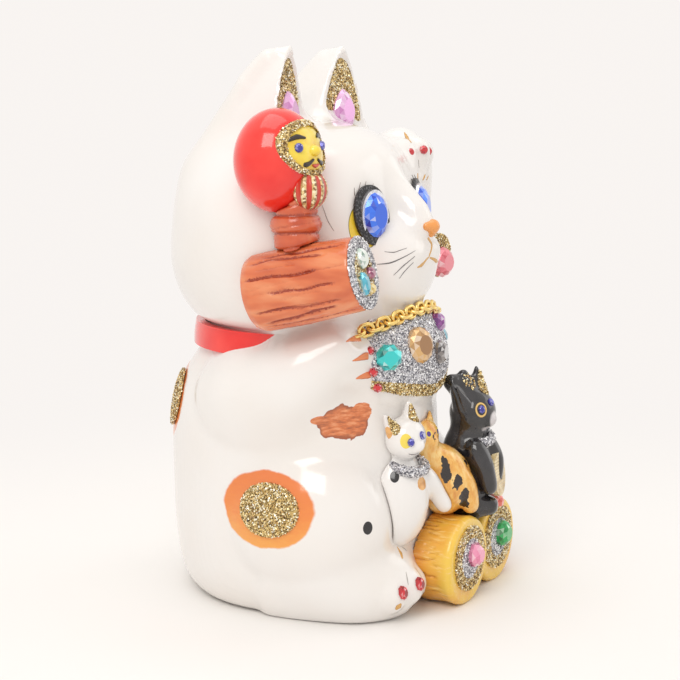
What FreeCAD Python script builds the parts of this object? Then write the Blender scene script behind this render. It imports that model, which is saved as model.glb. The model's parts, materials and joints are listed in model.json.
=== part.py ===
"""Beckoning cat figurine: slip-cast castings luted together, with glued stones, glitter coats and a chain.

Millimetres. +Z is up and z = 0 is the table. The cat looks along -Y, so its right side is at -X. The
origin is on the table, under the middle of the neck's width; Y = 0 is the plane through which the raised
paw and the mallet pass. Each casting, coat, stone and chain is a node of its own, cut to seat face to
face on what carries it.
"""

import FreeCAD
import Part
import math
import os

V = FreeCAD.Vector

# ---- driving dimensions --------------------------------------------------------------------------

WALL = 4.0  # slip-cast wall of the two hollow castings

# Torso: rows of height, half width, reach to the back and reach to the front, all about AXIS_Y.
AXIS_Y = 14.0
NECK_Z = 93.0
NECK_ROOT_Z = 84.5
TORSO_ROWS = [
    (0.0, 37.0, 36.0, 42.0),
    (4.0, 40.5, 40.5, 44.0),
    (14.0, 43.0, 44.0, 46.0),
    (38.0, 43.5, 46.0, 46.5),
    (58.0, 42.8, 46.0, 46.5),
    (74.0, 39.5, 42.0, 45.0),
    (NECK_ROOT_Z, 34.5, 35.0, 42.0),
    (NECK_Z, 33.5, 34.0, 38.0),
]
VENT_RADIUS = 6.0

# Head: the same kind of rows, from the neck joint to the crown.
HEAD_ROWS = [
    (NECK_Z, 34.0, 34.5, 38.5),
    (99.0, 42.0, 39.5, 39.5),
    (110.0, 47.0, 43.0, 39.2),
    (124.0, 48.0, 43.5, 38.4),
    (136.0, 45.5, 42.0, 36.4),
    (146.0, 39.0, 37.0, 33.8),
    (153.0, 29.0, 28.5, 28.5),
    (157.5, 16.0, 16.0, 17.0),
    (159.0, 4.0, 4.0, 4.0),
]

COLLAR_THICKNESS = 2.4
COLLAR_BOTTOM_Z = 85.0
COLLAR_TOP_Z = 92.6

EAR_TIP_Z = 183.4
EAR_X = 16.9
EAR_FRONT_Y = 8.5
EAR_RIM = 0.9  # white edge round the glittered face of an ear
EAR_SLANT = 0.15  # the ear faces are turned a little towards each other

MALLET_BACK = V(-44.5, 5.4, 106.7)
MALLET_FRONT = V(-38.5, -30.0, 115.0)
MALLET_RADIUS = 12.4
MALLET_FRONT_RADIUS = 11.2
HANDLE_RADIUS = 7.0
HANDLE_RING_RADIUS = 8.4
HANDLE_FOOT = V(-42.0, -10.0, 116.0)
HANDLE_RING_Z = 128.5

DARUMA_RADII = (14.8, 13.0, 16.0)
DARUMA_CENTRE = V(-42.6, -2.6, 148.2)
FACE_HALF_WIDTH = 10.2
FACE_HALF_HEIGHT = 6.7

BALE_RADIUS = 15.0
BALE_AXIS_Z = 14.4  # the bales are flattened where they stand
BALE_LENGTH = 25.0
NEAR_BALE = (6.2, -46.0)  # X of the axis and Y of the front end
FAR_BALE = (33.2, -43.8)
BALE_FACE_RADIUS = 10.8

COAT = 0.7  # glitter in clear glue
BIB_HALF_WIDTH = 25.0
BIB_TOP_Z = 97.0
BIB_SIDE_Z = 76.0
BIB_MIDDLE_Z = 70.5
HEM = 4.0

STONE_BED = 0.4  # how far a stone is pressed into its bed of glue or glitter
NAIL_STONE = 3.1
CHAIN_WIRE = 1.25

CHEST_CENTRE = V(0.0, -12.0, 80.0)
CHEST_RADII = (29.5, 23.5, 25.0)
HAUNCH_CENTRE = V(25.0, -1.0, 31.0)
HAUNCH_RADII = (22.5, 31.0, 29.0)
HAUNCH_DISC = (10.9, 8.3)
HAUNCH_DISC_Y = -0.4
HAUNCH_DISC_Z = 38.4
BACK_DISC = (8.5, 9.5)
BACK_DISC_AZ = 145.0
BACK_DISC_Z = 66.0

EYE_X = 14.4
EYE_Z = 128.9
EYE_STONE = (5.2, 7.3)
EYE_TURN = 14.0
EYE_BEZEL = 0.9

GROUND = Part.makeBox(300, 300, 50, V(-150, -150, -50))
pieces = {}

# ---- building blocks -----------------------------------------------------------------------------


def egg_points(z, half_x, back, front, count=28):
    """A closed egg outline about (0, AXIS_Y): an ellipse that reaches differently to the back and front."""
    points = []
    for i in range(count):
        angle = 2 * math.pi * i / count
        reach = back if math.sin(angle) > 0 else front
        points.append(V(half_x * math.cos(angle), AXIS_Y + reach * math.sin(angle), z))
    return points


def ring_wire(points):
    curve = Part.BSplineCurve()
    curve.interpolate(Points=points, PeriodicFlag=True)
    return Part.Wire([curve.toShape()])


def egg_loft(rows, grow=0.0):
    """A solid through egg outlines, every outline grown by the same amount."""
    wires = [ring_wire(egg_points(z, a + grow, b + grow, f + grow)) for z, a, b, f in rows]
    return Part.makeLoft(wires, True, False)


def ellipsoid(centre, radii, turn=None):
    """An ellipsoid about a centre. turn is (axis, degrees) about that centre."""
    ball = Part.makeSphere(1.0)
    stretch = FreeCAD.Matrix()
    stretch.scale(*radii)
    shape = ball.transformGeometry(stretch)
    if turn:
        shape.rotate(V(0, 0, 0), V(*turn[0]), turn[1])
    shape.translate(V(*centre))
    return shape


def limb(stations, cap=(0.35, 0.75)):
    """A round limb through stations of (point, radius), with domed ends."""
    points = [V(*p) for p, _ in stations]
    radii = [r for _, r in stations]
    rings = []
    last = len(points) - 1
    for i, point in enumerate(points):
        ahead = points[min(i + 1, last)] - points[max(i - 1, 0)]
        ahead.normalize()
        if i == 0:
            for share in cap:
                out = math.sqrt(1 - share * share)
                rings.append((point - ahead * radii[0] * out, radii[0] * share, ahead))
        rings.append((point, radii[i], ahead))
        if i == last:
            for share in reversed(cap):
                out = math.sqrt(1 - share * share)
                rings.append((point + ahead * radii[i] * out, radii[i] * share, ahead))
    wires = []
    for centre, radius, ahead in rings:
        side = V(0, 0, 1).cross(ahead) if abs(ahead.z) < 0.8 else V(0, 1, 0).cross(ahead)
        side.normalize()
        over = ahead.cross(side)
        ring = []
        for k in range(12):
            angle = 2 * math.pi * k / 12
            ring.append(centre + side * (radius * math.cos(angle)) + over * (radius * math.sin(angle)))
        wires.append(ring_wire(ring))
    return Part.makeLoft(wires, True, False)


def largest(shape):
    """The biggest solid of a shape, which drops slivers that a cut leaves."""
    return max(shape.Solids, key=lambda s: s.Volume)


def fused(first, *others):
    return largest(first.multiFuse(list(others)))


def seated(piece, *hosts):
    """The piece with every host's volume taken out, so that it seats face to face."""
    result = piece
    for host in hosts:
        result = result.cut(host)
    return largest(result)


def facing(shape, point, out, up=V(0, 0, 1)):
    """Places a shape made about the origin, its local +Z along out and its local +Y as near up as it can."""
    out = V(out)
    out.normalize()
    turn = FreeCAD.Rotation(V(0, 0, 0), up, out, "ZYX")
    placed = shape.copy()
    placed.Placement = FreeCAD.Placement(V(point), turn).multiply(shape.Placement)
    return placed


def surface_point(solid, inside, out, reach=90.0):
    """Where a line from inside a solid, going along out, leaves it for the last time."""
    out = V(out)
    out.normalize()
    start = V(inside)
    line = Part.makeLine(start, start + out * reach)
    met = line.common(solid)
    return max((v.Point for v in met.Vertexes), key=lambda p: (p - start).dot(out))


def keep(name, shape):
    """Stores a node. A list is a group of separate solids."""
    solids = shape if isinstance(shape, list) else [shape]
    pieces[name] = Part.makeCompound(solids) if len(solids) > 1 else solids[0]
    return shape


# ---- stones --------------------------------------------------------------------------------------


def outline(kind, half_x, half_y, count, phase=0.0):
    """Corner points of a stone's outline, in its own plane. pear and navette are pointed along +Y."""
    points = []
    for i in range(count):
        t = 2 * math.pi * (i + phase) / count
        x, y = math.cos(t), math.sin(t)
        if kind == "octagon":
            flat = max(abs(x), abs(y), (abs(x) + abs(y)) / 1.32)
            x, y = x / flat, y / flat
        elif kind == "pear":
            x *= 1 - 0.42 * max(0.0, y) ** 1.5
        elif kind == "navette":
            x *= 1 - 0.35 * y * y
        points.append((half_x * x, half_y * y))
    return points


def stone(kind, half_x, half_y, girdle, crown, count=12, table=0.55):
    """A flat-backed faceted stone on the XY plane, its table up. Its facets are flat triangles."""
    start = 0.5 if kind == "octagon" else 0.0
    levels = [
        (0.0, 1.0, start),
        (girdle, 1.0, start),
        (girdle + 0.55 * crown, 0.84, start + 0.5),
        (girdle + crown, table, start),
    ]
    rings = [
        [V(x * share, y * share, z) for x, y in outline(kind, half_x, half_y, count, phase)]
        for z, share, phase in levels
    ]
    faces = [
        Part.Face(Part.makePolygon(rings[0] + rings[0][:1])),
        Part.Face(Part.makePolygon(rings[-1] + rings[-1][:1])),
    ]
    for level in range(3):
        low, high = rings[level], rings[level + 1]
        lead = 1 if levels[level + 1][2] < levels[level][2] else 0
        for i in range(count):
            j = (i + 1) % count
            here, there = high[(i + lead) % count], high[(j + lead) % count]
            if levels[level][2] == levels[level + 1][2]:
                faces.append(Part.Face(Part.makePolygon([low[i], low[j], there, here, low[i]])))
            else:
                # the upper corner stands over the middle of the lower edge, or the lower over the upper
                if levels[level + 1][2] > levels[level][2]:
                    faces.append(Part.Face(Part.makePolygon([low[i], low[j], high[i], low[i]])))
                    faces.append(Part.Face(Part.makePolygon([low[j], high[j], high[i], low[j]])))
                else:
                    faces.append(Part.Face(Part.makePolygon([low[i], high[j], high[i], low[i]])))
                    faces.append(Part.Face(Part.makePolygon([low[i], low[j], high[j], low[i]])))
    return Part.makeSolid(Part.makeShell(faces))


def sunk(shape, depth):
    """A stone lowered along its own axis, before it is placed."""
    lowered = shape.copy()
    lowered.translate(V(0, 0, -depth))
    return lowered


def set_on(shape, host, inside, out, lift=0.0, up=V(0, 0, 1)):
    """Sets a piece on the surface of a host, where a line from inside it comes out, and seats it there."""
    out = V(*out)
    out.normalize()
    point = surface_point(host, V(*inside), out)
    return seated(facing(shape, point + out * lift, out, up), host)


def gem(kind, half_x, half_y, crown, count=12, skirt=1.2, edge=0.6, table=0.55):
    """A stone with a skirt of glue under its girdle, which the host trims. Its bed is the plane z = 0."""
    return sunk(stone(kind, half_x, half_y, skirt + edge, crown, count, table), skirt)


def prism(points, y_from, y_to):
    """An upright panel: an outline in X and Z, drawn from one Y to another."""
    wire = Part.makePolygon([V(x, y_from, z) for x, z in points + points[:1]])
    return Part.Face(wire).extrude(V(0, y_to - y_from, 0))


def oval_column(point, out, half_x, half_y, length, up=V(0, 0, 1)):
    """An oval column from a point along out, half_y being its reach towards up."""
    if half_x >= half_y:
        curve = Part.Ellipse(V(0, 0, 0), half_x, half_y)
        wire = Part.Wire([curve.toShape()])
    else:
        curve = Part.Ellipse(V(0, 0, 0), half_y, half_x)
        wire = Part.Wire([curve.toShape()])
        wire.rotate(V(0, 0, 0), V(0, 0, 1), 90)
    return facing(Part.Face(wire).extrude(V(0, 0, length)), point, out, up)


# ---- the two hollow castings ---------------------------------------------------------------------


def torso_outer():
    haunches = []
    for side in (-1, 1):
        centre = (side * HAUNCH_CENTRE.x, HAUNCH_CENTRE.y, HAUNCH_CENTRE.z)
        haunches.append(ellipsoid(centre, HAUNCH_RADII))
    chest = ellipsoid(CHEST_CENTRE, CHEST_RADII)
    body = fused(egg_loft(TORSO_ROWS), *haunches, chest)
    return largest(body.cut(GROUND))


def shrunk(rows, low, high):
    return [(z, a - WALL, b - WALL, f - WALL) for z, a, b, f in rows if low <= z <= high]


def head_outer():
    muzzle = ellipsoid((0, -18.0, 113.5), (20.5, 15.2, 18.0))
    cheeks = [ellipsoid((side * 5.2, -26.3, 117.0), (8.0, 8.0, 6.8)) for side in (-1, 1)]
    return fused(egg_loft(HEAD_ROWS), muzzle, *cheeks)


NECK_BORE = 13.0
torso_solid = torso_outer()
head_solid = head_outer()
torso_solid = largest(torso_solid.cut(head_solid))

torso_hollow = egg_loft(shrunk(TORSO_ROWS, WALL, NECK_ROOT_Z))
head_hollow = egg_loft(shrunk(HEAD_ROWS, NECK_Z + WALL, 153.0))
neck_bore = Part.makeCylinder(NECK_BORE, 30, V(0, AXIS_Y, 78))
vent = Part.makeCylinder(VENT_RADIUS, 3 * WALL, V(0, AXIS_Y, -WALL))
torso_casting = torso_solid.cut(torso_hollow.multiFuse([neck_bore, vent]))
head_casting = head_solid.cut(head_hollow.multiFuse([neck_bore]))
keep("torso_casting", largest(torso_casting))

# ---- ears ----------------------------------------------------------------------------------------

EAR_ROOT_Z = 140.0
EAR_STRETCH = (EAR_TIP_Z - EAR_ROOT_Z) / 43.4
EAR_ROWS = [
    # height, half width, reach to the back, lean outwards
    (EAR_ROOT_Z, 15.8, 42.0, 0.6),
    (EAR_ROOT_Z + 10.0 * EAR_STRETCH, 13.9, 37.0, 0.5),
    (EAR_ROOT_Z + 18.0 * EAR_STRETCH, 11.9, 31.0, 0.4),
    (EAR_ROOT_Z + 26.0 * EAR_STRETCH, 9.6, 23.5, 0.3),
    (EAR_ROOT_Z + 33.0 * EAR_STRETCH, 6.9, 15.5, 0.2),
    (EAR_ROOT_Z + 38.5 * EAR_STRETCH, 4.0, 8.0, 0.1),
    (EAR_ROOT_Z + 41.2 * EAR_STRETCH, 2.0, 3.4, 0.0),
    (EAR_TIP_Z, 0.8, 1.2, 0.0),
]
EAR_FRONT_SWELL = 1.4


def ear_outline(z, half, back, lean, side):
    points = []
    for i in range(20):
        angle = 2 * math.pi * i / 20
        reach = back if math.sin(angle) > 0 else min(EAR_FRONT_SWELL, 0.5 * half)
        x = side * (EAR_X + lean + half * math.cos(angle))
        points.append(V(x, EAR_FRONT_Y + reach * math.sin(angle), z))
    return ring_wire(points)


def ear_window(side, y_from, y_to):
    """The pointed opening of the ear's recess, drawn between two Y planes."""
    right = [(EAR_X + lean + half - EAR_RIM, z - 0.6) for z, half, _, lean in EAR_ROWS[:-2]]
    left = [(EAR_X + lean - half + EAR_RIM, z - 0.6) for z, half, _, lean in EAR_ROWS[-3::-1]]
    tip = [(EAR_X, EAR_TIP_Z - 2.2)]
    return slanted(prism([(side * x, z) for x, z in right + tip + left], y_from, y_to), side)


def slanted(shape, side):
    """Sheared along Y, so that an ear's face looks a little towards the other ear."""
    shear = FreeCAD.Matrix()
    shear.A21 = -side * EAR_SLANT
    shear.A24 = EAR_SLANT * EAR_X
    return shape.transformGeometry(shear)


EAR_RECESS = 1.5
ears = {}
ear_coats = []
ear_stones = []
for side, name in ((-1, "ear_right"), (1, "ear_left")):
    blank = Part.makeLoft([ear_outline(z, h, b, l, side) for z, h, b, l in EAR_ROWS], True, False)
    blank = seated(slanted(blank, side), head_solid)
    ear = largest(blank.cut(ear_window(side, EAR_FRONT_Y - 8.0, EAR_FRONT_Y + EAR_RECESS)))
    ears[side] = ear
    keep(name, ear)
    coat = seated(ear_window(side, EAR_FRONT_Y + EAR_RECESS - COAT, EAR_FRONT_Y + EAR_RECESS), head_solid)
    ear_coats.append(coat)
    pear = gem("pear", 5.3, 7.2, 2.2, 14, 1.6)
    spot = surface_point(coat, V(side * (EAR_X + 0.8), EAR_FRONT_Y + 12, 161.5), (0, -1, 0))
    pear = facing(pear, spot + V(0, -0.2, 0), V(-side * EAR_SLANT, -1, 0.08))
    ear_stones.append(seated(pear, ear, coat, head_solid))
keep("ear_glitter", ear_coats)
keep("ear_stones", ear_stones)

# ---- limbs ---------------------------------------------------------------------------------------

HEAD_AND_TORSO = (head_solid, torso_solid)

RIGHT_ARM = [
    ((-26.0, 25.0, 68.5), 13.5),
    ((-29.0, 15.0, 70.5), 17.0),
    ((-31.0, 4.0, 74.0), 16.4),
    ((-31.5, -4.5, 79.5), 14.6),
    ((-30.4, -9.2, 84.0), 12.4),
    ((-29.4, -12.6, 86.5), 10.6),
]
RIGHT_FINGERS = [((-29.6, -16.6, 92.5), 4.6), ((-29.2, -18.4, 86.5), 4.8), ((-28.6, -17.2, 80.5), 4.6)]
right_arm_blank = fused(limb(RIGHT_ARM), *[ellipsoid(c, (r * 1.25, r, r * 0.8)) for c, r in RIGHT_FINGERS])
right_arm = seated(right_arm_blank, *HEAD_AND_TORSO)
keep("right_arm", right_arm)

LEFT_ARM = [
    ((28.0, 12.0, 76.0), 15.5),
    ((40.0, 5.0, 93.0), 13.0),
    ((46.0, 1.0, 111.0), 11.0),
    ((44.5, 0.0, 128.0), 10.0),
    ((36.5, -4.0, 140.5), 10.4),
    ((29.0, -6.8, 146.2), 9.6),
]
LEFT_FINGERS = [((21.6, -11.6, 146.8), 4.3), ((27.2, -13.6, 147.4), 4.6), ((32.8, -12.6, 146.6), 4.3)]
left_fingers = [ellipsoid(c, (r * 0.85, r * 1.2, r * 1.25)) for c, r in LEFT_FINGERS]
left_arm_blank = fused(limb(LEFT_ARM), *left_fingers)
left_arm = seated(left_arm_blank, *HEAD_AND_TORSO)
keep("raised_left_arm", left_arm)

RIGHT_FOOT = [
    ((-27.0, 4.0, 11.0), 14.5),
    ((-25.5, -12.0, 10.8), 14.4),
    ((-22.5, -21.0, 10.6), 13.8),
    ((-19.0, -26.0, 10.6), 12.6),
]
RIGHT_TOES = [((-24.8, -32.4, 9.6), 5.8), ((-18.6, -34.8, 11.2), 6.2), ((-12.4, -33.4, 10.2), 5.6)]
right_foot = fused(limb(RIGHT_FOOT), *[ellipsoid(c, (r * 0.9, r * 1.05, r * 1.1)) for c, r in RIGHT_TOES])
right_foot = seated(right_foot, torso_solid, GROUND)
LEFT_FOOT = [((27.0, 4.0, 12.0), 13.5), ((33.0, -9.0, 11.5), 12.5), ((36.0, -17.0, 10.8), 11.0)]
left_foot = seated(limb(LEFT_FOOT), torso_solid, GROUND)

# ---- straw bales ---------------------------------------------------------------------------------

BALE_BELLY = 0.8


def bale_blank(axis_x, front_y):
    """A rice bale lying along Y: a cylinder that swells a little in the middle and pinches at its ropes."""
    profile = [(0.0, 0.0), (BALE_RADIUS - 0.9, 0.0), (BALE_RADIUS, 1.6), (BALE_RADIUS - 0.5, 6.0),
               (BALE_RADIUS, 12.0), (BALE_RADIUS - 0.5, 18.0), (BALE_RADIUS, 22.0),
               (BALE_RADIUS + BALE_BELLY, BALE_LENGTH), (0.0, BALE_LENGTH)]
    wire = Part.makePolygon([V(r, front_y + y, 0) for r, y in profile + profile[:1]])
    bale = Part.Face(wire).revolve(V(0, 0, 0), V(0, 1, 0), 360)
    bale.translate(V(axis_x, 0, BALE_AXIS_Z))
    return Part.makeSolid(bale.Shells[0]) if bale.ShapeType != "Solid" else bale


near_bale = seated(bale_blank(*NEAR_BALE), torso_solid, right_foot, left_foot, GROUND)
far_bale = seated(bale_blank(*FAR_BALE), near_bale, torso_solid, left_foot, GROUND)
keep("right_foot", right_foot)
keep("left_foot", left_foot)
keep("bale_near", near_bale)
keep("bale_far", far_bale)

bale_rims = []
bale_silvers = []
bale_gems = []
for (axis_x, front_y), kind, half in ((NEAR_BALE, "octagon", 3.7), (FAR_BALE, "oval", 4.1)):
    centre = V(axis_x, front_y, BALE_AXIS_Z + 1.0)
    disc = Part.makeCylinder(BALE_FACE_RADIUS, COAT, centre, V(0, -1, 0))
    inner = Part.makeCylinder(0.62 * BALE_FACE_RADIUS, COAT, centre, V(0, -1, 0))
    bale_rims.append(disc.cut(inner))
    bale_silvers.append(inner)
    jewel = stone(kind, half, half * 1.12, 1.2, 2.2, 12 if kind == "oval" else 8)
    bale_gems.append(facing(jewel, centre + V(1.6, -COAT, 1.0), V(0, -1, 0)))
coral = gem("oval", 2.6, 3.8, 1.8, 10)
coral_root = (FAR_BALE[0], -40.0, BALE_AXIS_Z)
bale_gems.append(set_on(coral, far_bale, coral_root, (-0.1, -0.2, 1.0), 0.0, V(0, -1, 0)))
keep("bale_gold_glitter", bale_rims)
keep("bale_silver_glitter", bale_silvers)
keep("bale_stones", bale_gems)

# ---- kittens -------------------------------------------------------------------------------------


def tilted(shape, head, look, tilt):
    """Tilts a head, or what is on it, sideways about the way it looks."""
    leant = shape.copy()
    leant.rotate(V(*head), look, tilt)
    return leant


def kitten(head, head_r, body, body_r, ear_h, spread, limbs, hosts, look, tilt):
    """A kitten: a round head with two pricked ears, a body and its limbs. Returns its body and its head."""
    torso = fused(ellipsoid(body, body_r), *[limb(stations) for stations in limbs])
    torso = seated(torso, *hosts)
    ball = ellipsoid(head, head_r)
    side_way = V(-look.y, look.x, 0)
    muzzle = ellipsoid(V(*head) + look * (head_r[1] * 0.72) + V(0, 0, -head_r[2] * 0.28),
                       (head_r[0] * 0.42, head_r[0] * 0.42, head_r[0] * 0.33))
    ears = []
    for side in (-1, 1):
        foot = V(*head) + side_way * (side * spread) + V(0, 0, head_r[2] * 0.55)
        cone = Part.makeCone(head_r[0] * 0.46, 0.35, ear_h, foot, side_way * (side * 0.28) + V(0, 0, 1))
        ears.append(cone)
    skull = tilted(fused(ball, muzzle, *ears), head, look, tilt)
    return torso, seated(skull, torso, *hosts)


WHITE_HEAD = (-14.5, -32.5, 59.2)
WHITE_HEAD_RADIUS = 7.0
WHITE_LOOK = V(-0.42, -0.9, 0)
WHITE_LOOK.normalize()
WHITE_EARS = (8.2, 3.1)  # height and spread
GOLD_LOOK = V(-0.2, -0.98, 0)
BLACK_HEAD = (21.2, -39.4, 61.6)
BLACK_HEAD_RADIUS = 8.0
BLACK_LOOK = V(-0.25, -0.97, 0)
BLACK_LOOK.normalize()
BLACK_EARS = (11.0, 4.0)
HEAD_TILT = 20.0
carriers = (torso_solid, right_foot, near_bale, far_bale, left_foot, right_arm)
white_body, white_head = kitten(
    WHITE_HEAD, (WHITE_HEAD_RADIUS, 6.8, 6.9), (-12.0, -28.0, 38.0), (11.4, 10.6, 16.5), *WHITE_EARS,
    [[((-6.5, -34.5, 45.0), 4.0), ((-2.0, -37.0, 39.5), 3.2), ((1.0, -39.0, 34.0), 2.7)]],
    carriers, WHITE_LOOK, HEAD_TILT)
gold_body, gold_head = kitten(
    (-0.8, -31.0, 57.2), (6.2, 6.0, 6.0), (8.0, -35.5, 40.0), (9.4, 8.6, 11.5), 6.5, 3.3,
    [[((-1.0, -31.5, 51.0), 5.0), ((4.0, -34.0, 48.0), 6.4), ((8.5, -36.5, 42.0), 8.0)],
     [((7.5, -40.5, 42.5), 4.4), ((9.8, -43.2, 37.0), 3.7), ((10.5, -44.0, 32.5), 3.1)]],
    carriers + (white_body, white_head), GOLD_LOOK, 8.0)
black_body, black_head = kitten(
    BLACK_HEAD, (BLACK_HEAD_RADIUS, 7.9, 7.8), (20.5, -37.6, 42.5), (9.0, 8.8, 17.5), *BLACK_EARS,
    [[((16.0, -43.0, 50.0), 3.8), ((16.0, -46.5, 44.0), 3.4), ((17.5, -47.5, 37.5), 3.0)],
     [((24.5, -43.0, 50.0), 3.8), ((25.0, -46.0, 44.0), 3.4), ((24.0, -46.5, 40.0), 3.0)],
     [((21.0, -34.0, 29.0), 7.5), ((19.5, -42.0, 30.0), 5.6), ((20.5, -46.0, 30.0), 3.6)]],
    carriers + (gold_body, gold_head, white_body, white_head), BLACK_LOOK, HEAD_TILT)
for name, shape in (("kitten_white_body", white_body), ("kitten_white_head", white_head),
                    ("kitten_gold_body", gold_body), ("kitten_gold_head", gold_head),
                    ("kitten_black_body", black_body), ("kitten_black_head", black_head)):
    keep(name, shape)

# ---- mallet and daruma ---------------------------------------------------------------------------

mallet_way = MALLET_FRONT - MALLET_BACK
MALLET_LENGTH = mallet_way.Length
mallet_way.normalize()
MALLET_ROUND = 3.5


def turned(profile, point, out):
    """A turned solid: profile is radius and height along out, from the axis back to the axis."""
    wire = Part.makePolygon([V(r, 0, h) for r, h in profile + profile[:1]])
    solid = Part.Face(wire).revolve(V(0, 0, 0), V(0, 0, 1), 360)
    solid = solid if solid.ShapeType == "Solid" else Part.makeSolid(solid.Shells[0])
    return facing(solid, point, out)


mallet_profile = [
    (0.0, 0.0),
    (MALLET_RADIUS - MALLET_ROUND, 0.0),
    (MALLET_RADIUS - 1.1, 1.1),
    (MALLET_RADIUS, MALLET_ROUND),
    (MALLET_RADIUS, 0.45 * MALLET_LENGTH),
    (MALLET_FRONT_RADIUS + 0.3, MALLET_LENGTH - 3.0),
    (MALLET_FRONT_RADIUS, MALLET_LENGTH),
    (0.0, MALLET_LENGTH),
]
mallet = turned(mallet_profile, MALLET_BACK, mallet_way)
mallet = seated(mallet, head_solid, torso_solid, right_arm)
keep("mallet_barrel", mallet)

handle_way = V(0, 0.1, 1)
ring_height = HANDLE_RING_Z - HANDLE_FOOT.z
handle_profile = [
    (0.0, 0.0),
    (HANDLE_RADIUS + 1.2, 0.0),
    (HANDLE_RADIUS + 0.4, ring_height - 5.0),
    (HANDLE_RADIUS, ring_height - 2.6),
    (HANDLE_RING_RADIUS - 0.6, ring_height - 1.4),
    (HANDLE_RING_RADIUS, ring_height),
    (HANDLE_RING_RADIUS - 0.5, ring_height + 1.8),
    (HANDLE_RADIUS + 0.2, ring_height + 3.4),
    (HANDLE_RADIUS + 0.4, ring_height + 12.0),
    (0.0, ring_height + 12.0),
]
daruma_ball = ellipsoid(DARUMA_CENTRE, DARUMA_RADII)
ear_carrier = ears[-1]
face_way = V(0, -1, 0)
handle = seated(turned(handle_profile, HANDLE_FOOT, handle_way), mallet, head_solid, daruma_ball)
keep("mallet_neck", handle)

FACE_RISE = 4.2
FACE_PROUD = 0.5
FACE_CORE = 5.5  # how far in front of the ball's middle the face's block starts
BORDER = 1.6


def daruma_shell(grow):
    return ellipsoid(DARUMA_CENTRE, tuple(r + grow for r in DARUMA_RADII))


def face_window(grow):
    start = DARUMA_CENTRE + V(0, 0, FACE_RISE) + face_way * FACE_CORE
    return oval_column(start, face_way, FACE_HALF_WIDTH + grow, FACE_HALF_HEIGHT + grow, 20.0)


nose_at = DARUMA_CENTRE + V(0, 0, FACE_RISE - 0.8) + face_way * (DARUMA_RADII[1] - 0.4)
daruma_nose = ellipsoid(nose_at, (2.2, 2.6, 1.9))
daruma_face = seated(fused(daruma_shell(FACE_PROUD).common(face_window(0.0)), daruma_nose), head_solid)
border_blank = largest(daruma_shell(COAT + 0.3).common(face_window(BORDER)))
daruma_border = seated(border_blank, face_window(0.0), daruma_shell(-1.0), head_solid)
daruma_belly = ellipsoid(DARUMA_CENTRE + V(0, -11.4, -8.4), (6.6, 5.2, 6.2))
daruma_chest = seated(daruma_belly, daruma_face, face_window(BORDER), handle, head_solid)
daruma_body = seated(daruma_ball, head_solid, ear_carrier, daruma_face, daruma_border, daruma_chest)
keep("daruma_body", daruma_body)
keep("daruma_face", daruma_face)
keep("daruma_border", daruma_border)
keep("daruma_chest", daruma_chest)

DARUMA_EYE = 1.5
daruma_eyes = []
for side in (-1, 1):
    way = V(side * 6.0, -10.5, 0)
    eye_root = DARUMA_CENTRE + V(0, 0, FACE_RISE + 0.3) + way * 0.75
    daruma_eye = gem("oval", DARUMA_EYE, DARUMA_EYE, 0.7, 10, 0.8, 0.4)
    daruma_eyes.append(set_on(daruma_eye, daruma_face, eye_root, way))
keep("daruma_eye_stones", daruma_eyes)

# the decorated front end of the mallet: a silver rim, a gold middle and four stones
front = MALLET_FRONT
rim_disc = Part.makeCylinder(MALLET_FRONT_RADIUS, COAT, front, mallet_way)
gold_disc = Part.makeCylinder(0.66 * MALLET_FRONT_RADIUS, COAT, front, mallet_way)
keep("mallet_silver_glitter", rim_disc.cut(gold_disc))
keep("mallet_gold_glitter", gold_disc)
end_up = mallet_way.cross(V(-1, 0, 0))
end_up.normalize()
end_side = mallet_way.cross(end_up)
end_stones = []
for kind, a, b, crown, along, rise in (
    ("octagon", 1.9, 3.8, 1.4, -3.4, 3.2),
    ("oval", 2.0, 2.0, 1.2, 3.6, 0.6),
    ("oval", 2.9, 3.3, 1.5, -1.2, -4.4),
    ("oval", 1.8, 1.8, 1.1, 1.8, 5.2),
):
    where = front + mallet_way * COAT + end_side * along + end_up * rise
    end_stone = stone(kind, a, b, 0.7, crown, 10 if kind == "oval" else 8)
    end_stones.append(facing(end_stone, where, mallet_way, end_up))
keep("mallet_stones", end_stones)

# ---- collar --------------------------------------------------------------------------------------

collar_rows = [
    (COLLAR_BOTTOM_Z, 34.5, 35.0, 42.0),
    (0.5 * (COLLAR_BOTTOM_Z + COLLAR_TOP_Z), 34.3, 34.8, 41.0),
    (COLLAR_TOP_Z, 33.6, 34.2, 39.0),
]
collar_blank = egg_loft(collar_rows, COLLAR_THICKNESS)
collar = seated(collar_blank, torso_solid, head_solid, right_arm, left_arm, mallet)
keep("collar_band", collar)

# ---- bib -----------------------------------------------------------------------------------------

BIB_OUTLINE = [
    (-BIB_HALF_WIDTH + 3.0, BIB_TOP_Z), (-BIB_HALF_WIDTH, BIB_TOP_Z - 3.0),
    (-BIB_HALF_WIDTH + 1.0, BIB_SIDE_Z), (-0.6 * BIB_HALF_WIDTH, BIB_SIDE_Z - 3.0),
    (0.0, BIB_MIDDLE_Z),
    (0.6 * BIB_HALF_WIDTH, BIB_SIDE_Z - 3.0), (BIB_HALF_WIDTH - 1.0, BIB_SIDE_Z),
    (BIB_HALF_WIDTH, BIB_TOP_Z - 3.0), (BIB_HALF_WIDTH - 3.0, BIB_TOP_Z),
]
HEM_OUTLINE = [
    (-BIB_HALF_WIDTH - 5, BIB_SIDE_Z + HEM), (-0.6 * BIB_HALF_WIDTH, BIB_SIDE_Z - 3.0 + HEM),
    (0.0, BIB_MIDDLE_Z + HEM), (0.6 * BIB_HALF_WIDTH, BIB_SIDE_Z - 3.0 + HEM),
    (BIB_HALF_WIDTH + 5, BIB_SIDE_Z + HEM), (BIB_HALF_WIDTH + 5, 50.0), (-BIB_HALF_WIDTH - 5, 50.0),
]
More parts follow.
